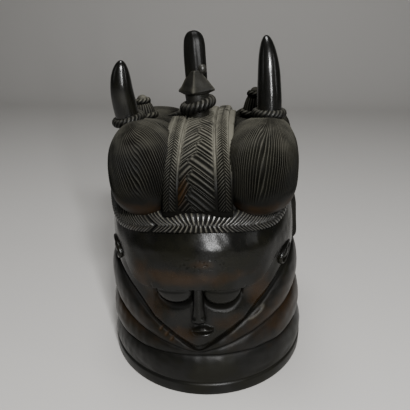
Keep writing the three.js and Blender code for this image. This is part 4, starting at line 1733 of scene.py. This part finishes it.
@dataclass
class CordRing:
    """A cord ring carved in slanting twists, which bites into what it binds."""

    seat: Array
    axis: Array
    bound_radius: float
    cord: float
    strands: int
    bite: float = 2.2
    per_strand: int = 9
    twist: float = 0.62

    def build(self) -> Form:
        """A ring of round section whose columns are sheared along the twists.

        Returns:
            The closed form.
        """
        columns = self.strands * self.per_strand
        turn, section = circle(columns)[:, None], circle(26)[None, :]
        phase = np.arange(columns)[:, None] / self.per_strand + 0 * section
        cut, tone, ridge = strokes(phase, 71 + self.strands, 0.62)
        sheared = turn + TURN * self.twist * np.sin(section) / self.strands
        half = 0.5 * self.cord * (1.04 - 0.30 * cut)
        radius = self.bound_radius + 0.5 * self.cord - self.bite + half * np.cos(section)
        x, y = radius * np.cos(sheared), radius * np.sin(sheared)
        grid = placed(self.seat, axes_along(self.axis), x, y, 1.15 * half * np.sin(section))
        # Painted shade in the twists; the pale crests, partly dust and partly a painted highlight,
        # lie on the upper side.
        return Form.looped(grid, {"cut": 0.85 * tone, "ridge": ridge * ramp(np.sin(section) + 0.3)})


@dataclass
class Horn:
    """A horn that stands on its seat and bends to its tip, with faint facets from the knife."""

    seat: Array
    start: Array
    reach: Array
    bluntness: float
    width: float
    thickness: float
    facets: float
    seed: int
    sink: float = 14.0

    def build(self) -> Form:
        """Rings along a quadratic Bezier curve; the radius falls as the root of 1 - s^bluntness.

        Returns:
            The closed form.
        """
        first = normalised(self.start)
        length = float(np.linalg.norm(self.reach))
        bend = self.seat + first * 0.55 * length
        tip = self.seat + self.reach
        q = np.linspace(0, 1, 76)
        s = np.concatenate([[-self.sink / length], 1 - (1 - q[:-1]) ** 1.6])[:, None]
        t = np.maximum(0, s)
        curve = (1 - t) ** 2 * self.seat + 2 * t * (1 - t) * bend + t * t * tip
        curve = curve + np.minimum(0, s) * length * first
        tangent = np.where(s > 0, (1 - t) * (bend - self.seat) + t * (tip - bend), first)
        axes = tuple(axis[:, None] for axis in axes_along(tangent))
        turn = circle(64)[None, :]
        taper = np.sqrt(np.maximum(0, 1 - t**self.bluntness))
        knife = np.cos(7 * turn + self.seed) + 0.6 * np.cos(12 * turn + 2 * self.seed + 3 * s)
        r = 0.5 * taper * (1 + self.facets * knife)
        x, y = self.width * r * np.cos(turn), self.thickness * r * np.sin(turn)
        grid = placed(curve[:, None], axes, x, y, 0)
        swell = 0.2 * unevenness(grid, 30, self.seed) * taper
        grid = grid + swell[..., None] * normalised(grid - curve[:, None])
        return Form.capped(grid, grid[0].mean(0), tip, {})


@dataclass
class Crest:
    """The crest: a cord ring with a loose tail, and an amulet with a blunt horn and a button."""

    arch: Arch
    cord: float = 9.6
    amulet_side: float = 27.0
    amulet_height: float = 21.0
    neck_height: float = 13.5
    amulet_turn: float = -7.0
    neck_share: float = 0.62
    button_radius: float = 4.6
    tail_length: float = 24.0

    def __post_init__(self) -> None:
        """Places the crest on the arch."""
        self.seat = vec(1, -0.08 * RIM_DEPTH, self.arch.top + 5.0 + self.cord)
        self.axes = axes_along(vec(0.05, 0, 1))
        self.half = self.amulet_side / math.sqrt(2)
        self.neck = self.neck_share * self.half

    def amulet(self) -> Form:
        """A neck and a four-sided pyramid: diamonds |x|^n + |y|^n = r^n at each level, n near 1.

        Returns:
            The closed form.
        """
        neck, top = self.neck, self.neck_height + self.amulet_height
        levels = [
            (-2.6 * self.cord, 0.9 * neck, 2.0),
            (0.4 * self.neck_height, neck, 2.0),
            (self.neck_height - 2.4, neck + 0.6, 1.8),
            (self.neck_height - 0.9, 0.86 * self.half, 1.2),
            (self.neck_height, 0.975 * self.half, 1.0),
            (self.neck_height + 1.2, self.half, 1.0),
            (self.neck_height + 2.6, 0.965 * self.half, 1.0),
            (self.neck_height + 0.3 * self.amulet_height, 0.80 * self.half, 1.0),
            (self.neck_height + 0.55 * self.amulet_height, 0.62 * self.half, 1.0),
            (self.neck_height + 0.8 * self.amulet_height, 0.43 * self.half, 1.0),
            (top - 0.8, 0.31 * self.half, 1.1),
            (top, 0.22 * self.half, 1.3),
        ]
        last = len(levels) - 1
        index, at = np.linspace(0, last, 4 * last + 1), np.arange(last + 1)
        high, reach, power = (np.interp(index, at, row)[:, None] for row in zip(*levels))
        turn = circle(96)[None, :]
        r = reach * (np.abs(np.cos(turn)) ** power + np.abs(np.sin(turn)) ** power) ** (-1 / power)
        place, axes = turn + math.radians(self.amulet_turn), axes_along(vec(-0.04, 0.0, 1))
        grid = placed(self.seat, axes, r * np.cos(place), r * np.sin(place), high)
        grid = grid + 0.25 * unevenness(grid, 14, 81)[..., None] * normalised(grid - self.seat)
        form = Form.closed(grid, {"dust": np.full(grid.shape[:2], 0.05)})
        # The pyramid's edges are pale, partly dust and partly a painted highlight.
        edges = hill(np.abs(np.sin(2 * turn)) / 0.22) * ramp((high - self.neck_height) / 1.5)
        form.tones["ridge"] = np.concatenate([edges.ravel(), [0.0, 0.0]])
        return form

    def button(self) -> Form:
        """A small ball beside the horn's foot.

        Returns:
            The closed form.
        """
        along, turn = math.pi * np.linspace(0.03, 0.97, 24)[:, None], circle(40)[None, :]
        r = self.button_radius * np.sin(along)
        high = self.neck_height + self.amulet_height + 1 - 1.1 * self.button_radius * np.cos(along)
        grid = placed(self.seat, self.axes, 4.0 + r * np.cos(turn), 1 + r * np.sin(turn), high)
        return Form.closed(grid, {"dust": np.full(grid.shape[:2], 0.1)})

    def tail(self) -> Form:
        """The cord's loose end, which thins out over the left lobe.

        Returns:
            The closed form.
        """
        along, turn = np.linspace(0.01, 0.985, 48)[:, None], circle(28)[None, :]
        r = 0.5 * self.cord * (1 - along) ** 0.7 * np.minimum(1, 8 * along)
        r = r * (1 - 0.10 * np.maximum(0, np.sin(26 * along + 2 * turn)))
        grid = placed(self.seat, self.axes, 0, r * np.cos(turn) - 2, r * np.sin(turn))
        grid[..., 0] -= 0.3 * self.amulet_side + self.tail_length * along
        grid[..., 2] -= 0.6 * self.cord + 0.2 * self.tail_length * along
        return Form.closed(grid, {})

    def horn(self) -> Horn:
        """The blunt horn on the amulet.

        Returns:
            The horn.
        """
        high = self.neck_height + 0.6 * self.amulet_height
        return Horn(
            seat=placed(self.seat, self.axes, -2.6, 5.2, high),
            start=vec(-0.02, 0.03, 1),
            reach=vec(-2, 8, 45.6),
            bluntness=8,
            width=21.8,
            thickness=15.0,
            facets=0.026,
            seed=5,
        )

    def ring(self) -> CordRing:
        """The twisted ring round the crest's neck."""
        return CordRing(self.seat, vec(-0.26, -0.05, 1), self.neck, self.cord, 20)


@dataclass
class Knot:
    """A fluted knot of hair on a rear lobe, bound by a cord below and one above."""

    lobe: Lobe
    diameter: float = 25.0
    heights: Pair = (18.0, 23.0)
    cord: float = 6.0
    flutes: int = 22
    per_flute: int = 7
    depth: float = 0.9

    def build(self) -> Form:
        """A fluted ball, its cap and its two cords.

        Returns:
            The closed form.
        """
        seat, axis = self.lobe.seat, vec(0.12 * self.lobe.side.value, 0, 1)
        axes, height = axes_along(axis), self.lobe.side.pick(self.heights)
        along = math.pi * np.linspace(0.02, 0.98, 32)[:, None]
        columns = self.flutes * self.per_flute
        turn = circle(columns)[None, :]
        phase = np.arange(columns)[None, :] / self.per_flute + 0 * along
        cut, tone, ridge = strokes(phase, 91, 0.6)
        r = self.diameter * (0.62 - 0.34 * along / math.pi) * np.sqrt(np.sin(along))
        r = r - self.depth * cut * np.sin(along)
        high = height * (0.3 - 0.75 * np.cos(along))
        body = placed(seat, axes, r * np.cos(turn), r * np.sin(turn), high)
        turn, r = circle(36)[None, :], 0.24 * self.diameter * np.sin(along)
        high = height - 0.9 * self.cord * np.cos(along)
        cap = placed(seat, axes, r * np.cos(turn), r * np.sin(turn), high)
        low = CordRing(seat, axis, 0.46 * self.diameter, self.cord, 15)
        above = placed(seat, axes, 0, 0, 0.9 * height)
        upper = CordRing(above, axis, 0.22 * self.diameter, self.cord, 10)
        # Painted shade in the flutes' cuts; the pale ridges are partly dust and partly a painted
        # highlight.
        form = Form.closed(body, {"cut": 0.8 * tone, "ridge": ridge}).joined(Form.closed(cap, {}))
        return form.joined(low.build()).joined(upper.build())


# ---------------------------------------------------------------- studio


@dataclass
class Studio:
    """A pale floor, soft light and the camera at the photograph's place."""

    camera_place: tuple[float, float, float] = (0.03948, -0.55411, 0.38377)
    pitch: float = 21.6
    azimuth: float = 4.5
    focal_share: float = 520.0 / 410.0

    def floor(self) -> None:
        """A wide floor that curves up far behind: level, then a quarter circle, then a wall."""
        back, radius, half = 1.4, 0.6, 4.0
        bend = np.linspace(0, math.pi / 2, 24)
        y = np.concatenate([[-half], back + radius * np.sin(bend), [back + radius]])
        z = np.concatenate([[0.0], radius * (1 - np.cos(bend)), [3.5]])
        points = np.stack([np.stack([np.full_like(y, s), y, z], -1) for s in (-half, half)], 1)
        mesh = bpy.data.meshes.new("floor")
        faces = grid_faces(len(y), 2, False)
        mesh.from_pydata(points.reshape(-1, 3).tolist(), [], faces[:, ::-1].tolist())
        for polygon in mesh.polygons:
            polygon.use_smooth = True
        pale = bpy.data.materials.new("pale_floor")
        pale.use_nodes = True
        shader = pale.node_tree.nodes["Principled BSDF"]
        shader.inputs["Base Color"].default_value = (0.50, 0.487, 0.465, 1)
        shader.inputs["Roughness"].default_value = 0.75
        mesh.materials.append(pale)
        made = bpy.data.objects.new("floor", mesh)
        bpy.context.scene.collection.objects.link(made)

    def light(self, name: str, place: tuple, aim: tuple, size: Pair, watts: float) -> None:
        """Adds a soft rectangular light.

        Args:
            name: The light's name.
            place: Where it is, in metres.
            aim: What it points at.
            size: Its width and height.
            watts: Its power.
        """
        lamp = bpy.data.lights.new(name, "AREA")
        lamp.shape = "RECTANGLE"
        lamp.size, lamp.size_y = size
        lamp.energy = watts
        made = bpy.data.objects.new(name, lamp)
        made.location = place
        away = np.array(place) - np.array(aim)
        flat = math.hypot(away[0], away[1])
        made.rotation_euler = (math.atan2(flat, away[2]), 0, math.atan2(away[0], -away[1]))
        bpy.context.scene.collection.objects.link(made)

    def camera(self) -> None:
        """The camera of the photograph: its place, pitch, azimuth and field of view."""
        lens = bpy.data.cameras.new("camera")
        lens.sensor_width = 36.0
        lens.lens = 36.0 * self.focal_share
        made = bpy.data.objects.new("camera", lens)
        made.location = self.camera_place
        made.rotation_euler = (math.radians(90 - self.pitch), 0, math.radians(self.azimuth))
        bpy.context.scene.collection.objects.link(made)
        bpy.context.scene.camera = made

    def build(self) -> None:
        """Sets the whole stage."""
        world = bpy.data.worlds.new("soft_room")
        world.use_nodes = True
        sky = world.node_tree.nodes["Background"]
        sky.inputs["Color"].default_value = (0.85, 0.88, 0.92, 1)
        sky.inputs["Strength"].default_value = 0.035
        bpy.context.scene.world = world
        self.floor()
        for name, place, aim_height, size, watts in (
            ("window", (0.30, -1.05, 0.95), 0.2, (0.18, 0.10), 21),
            ("strip", (0.36, -1.1, 0.53), 0.25, (0.06, 0.40), 8),
            ("side_left", (-1.5, -0.5, 0.8), 0.2, (0.2, 0.9), 0.7),
            ("side_right", (1.5, -0.5, 0.8), 0.2, (0.2, 0.9), 2),
            ("over", (-0.1, -0.05, 1.7), 0.2, (0.7, 0.5), 14),
        ):
            self.light(name, place, (0, 0, aim_height), size, watts)
        self.camera()


# ---------------------------------------------------------------- the whole mask


def front_lobe(head: Head, side: Side) -> Lobe:
    """The lobe under a side horn.

    Args:
        head: The head that it grows from.
        side: Its side of the mask.

    Returns:
        The lobe.
    """
    w, d, h = head.rim_width, head.rim_depth, head.height
    return Lobe(
        side=side,
        middle=vec(0.256 * w, -0.185 * d, 0.92 * h),
        half=vec(0.166 * w, 0.25 * d, 0.195 * h),
        under=0.18 * h,
        seats=(vec(0.55, 0.25, 1), vec(0.16, 0.25, 1)),
        flutes=108,
        fade_at=0.42,
    )


def rear_lobe(head: Head, side: Side) -> Lobe:
    """The lobe under a knot.

    Args:
        head: The head that it grows from.
        side: Its side of the mask.

    Returns:
        The lobe.
    """
    w, d, h = head.rim_width, head.rim_depth, head.height
    return Lobe(
        side=side,
        middle=vec(0.245 * w, 0.19 * d, 0.905 * h),
        half=vec(0.18 * w, 0.23 * d, 0.19 * h),
        under=0.17 * h,
        seats=(vec(0.33, -0.42, 1), vec(-0.06, -0.36, 1)),
        flutes=84,
        fade_at=0.75,
        rows=50,
        per_flute=5,
    )


def side_horn(lobe: Lobe) -> Horn:
    """The horn on a front lobe.

    Args:
        lobe: The lobe that it stands on.

    Returns:
        The horn.
    """
    return Horn(
        seat=lobe.seat,
        start=lobe.side.pick((vec(-0.22, -0.1, 1), vec(0.03, 0.02, 1))),
        reach=lobe.side.pick((vec(-1, -6, 62), vec(-3, 13, 77))),
        bluntness=lobe.side.pick((3.0, 2.6)),
        width=24.5,
        thickness=24.5,
        facets=0.005,
        seed=7 + lobe.side.value,
    )


def horn_ring(horn: Horn) -> CordRing:
    """The cord ring round a side horn's foot."""
    seat = horn.seat + 2.5 * normalised(horn.start)
    return CordRing(seat, horn.start, 0.5 * horn.width, 7.5, 22)


def build_mask() -> None:
    """Builds every piece of the mask in order."""
    head, arch = Head(), Arch()
    Block(head).build().piece("block", NECK_WOOD)
    Face(head).build().piece("face", FACE_WOOD)
    BackHair(head).build().piece("back_hair", HAIR_WOOD)
    for side in Side:
        Ear(head, side).build().piece(f"ear_{side.label}", FACE_WOOD)
    HairlineBraid(head).build().piece("hairline_braid", BAND_WOOD)
    HairGround(arch).build().piece("hair_ground", BRAID_WOOD)
    for place, label in ((-1, "left"), (0, "middle"), (1, "right")):
        CrownBraid(arch, place).build().piece(f"crown_braid_{label}", BRAID_WOOD)
    for side in Side:
        front, rear = front_lobe(head, side), rear_lobe(head, side)
        front.build().piece(f"front_lobe_{side.label}", HAIR_WOOD)
        rear.build().piece(f"rear_lobe_{side.label}", HAIR_WOOD)
        horn = side_horn(front)
        horn.build().piece(f"horn_{side.label}", HORN_WOOD)
        horn_ring(horn).build().piece(f"cord_ring_{side.label}", CORD_WOOD)
        Knot(rear).build().piece(f"hair_knot_{side.label}", HAIR_WOOD)
    crest = Crest(arch)
    crest.ring().build().piece("crest_ring", CORD_WOOD)
    crest.amulet().piece("amulet", AMULET_WOOD, 28)
    crest.button().piece("crest_button", AMULET_WOOD)
    crest.tail().piece("cord_tail", CORD_WOOD)
    crest.horn().build().piece("horn_middle", DRY_HORN_WOOD)


def main() -> None:
    """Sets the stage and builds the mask."""
    logging.basicConfig(level=logging.INFO, format="%(name)s %(message)s")
    Studio().build()
    build_mask()


if __name__ == "__main__":
    main()
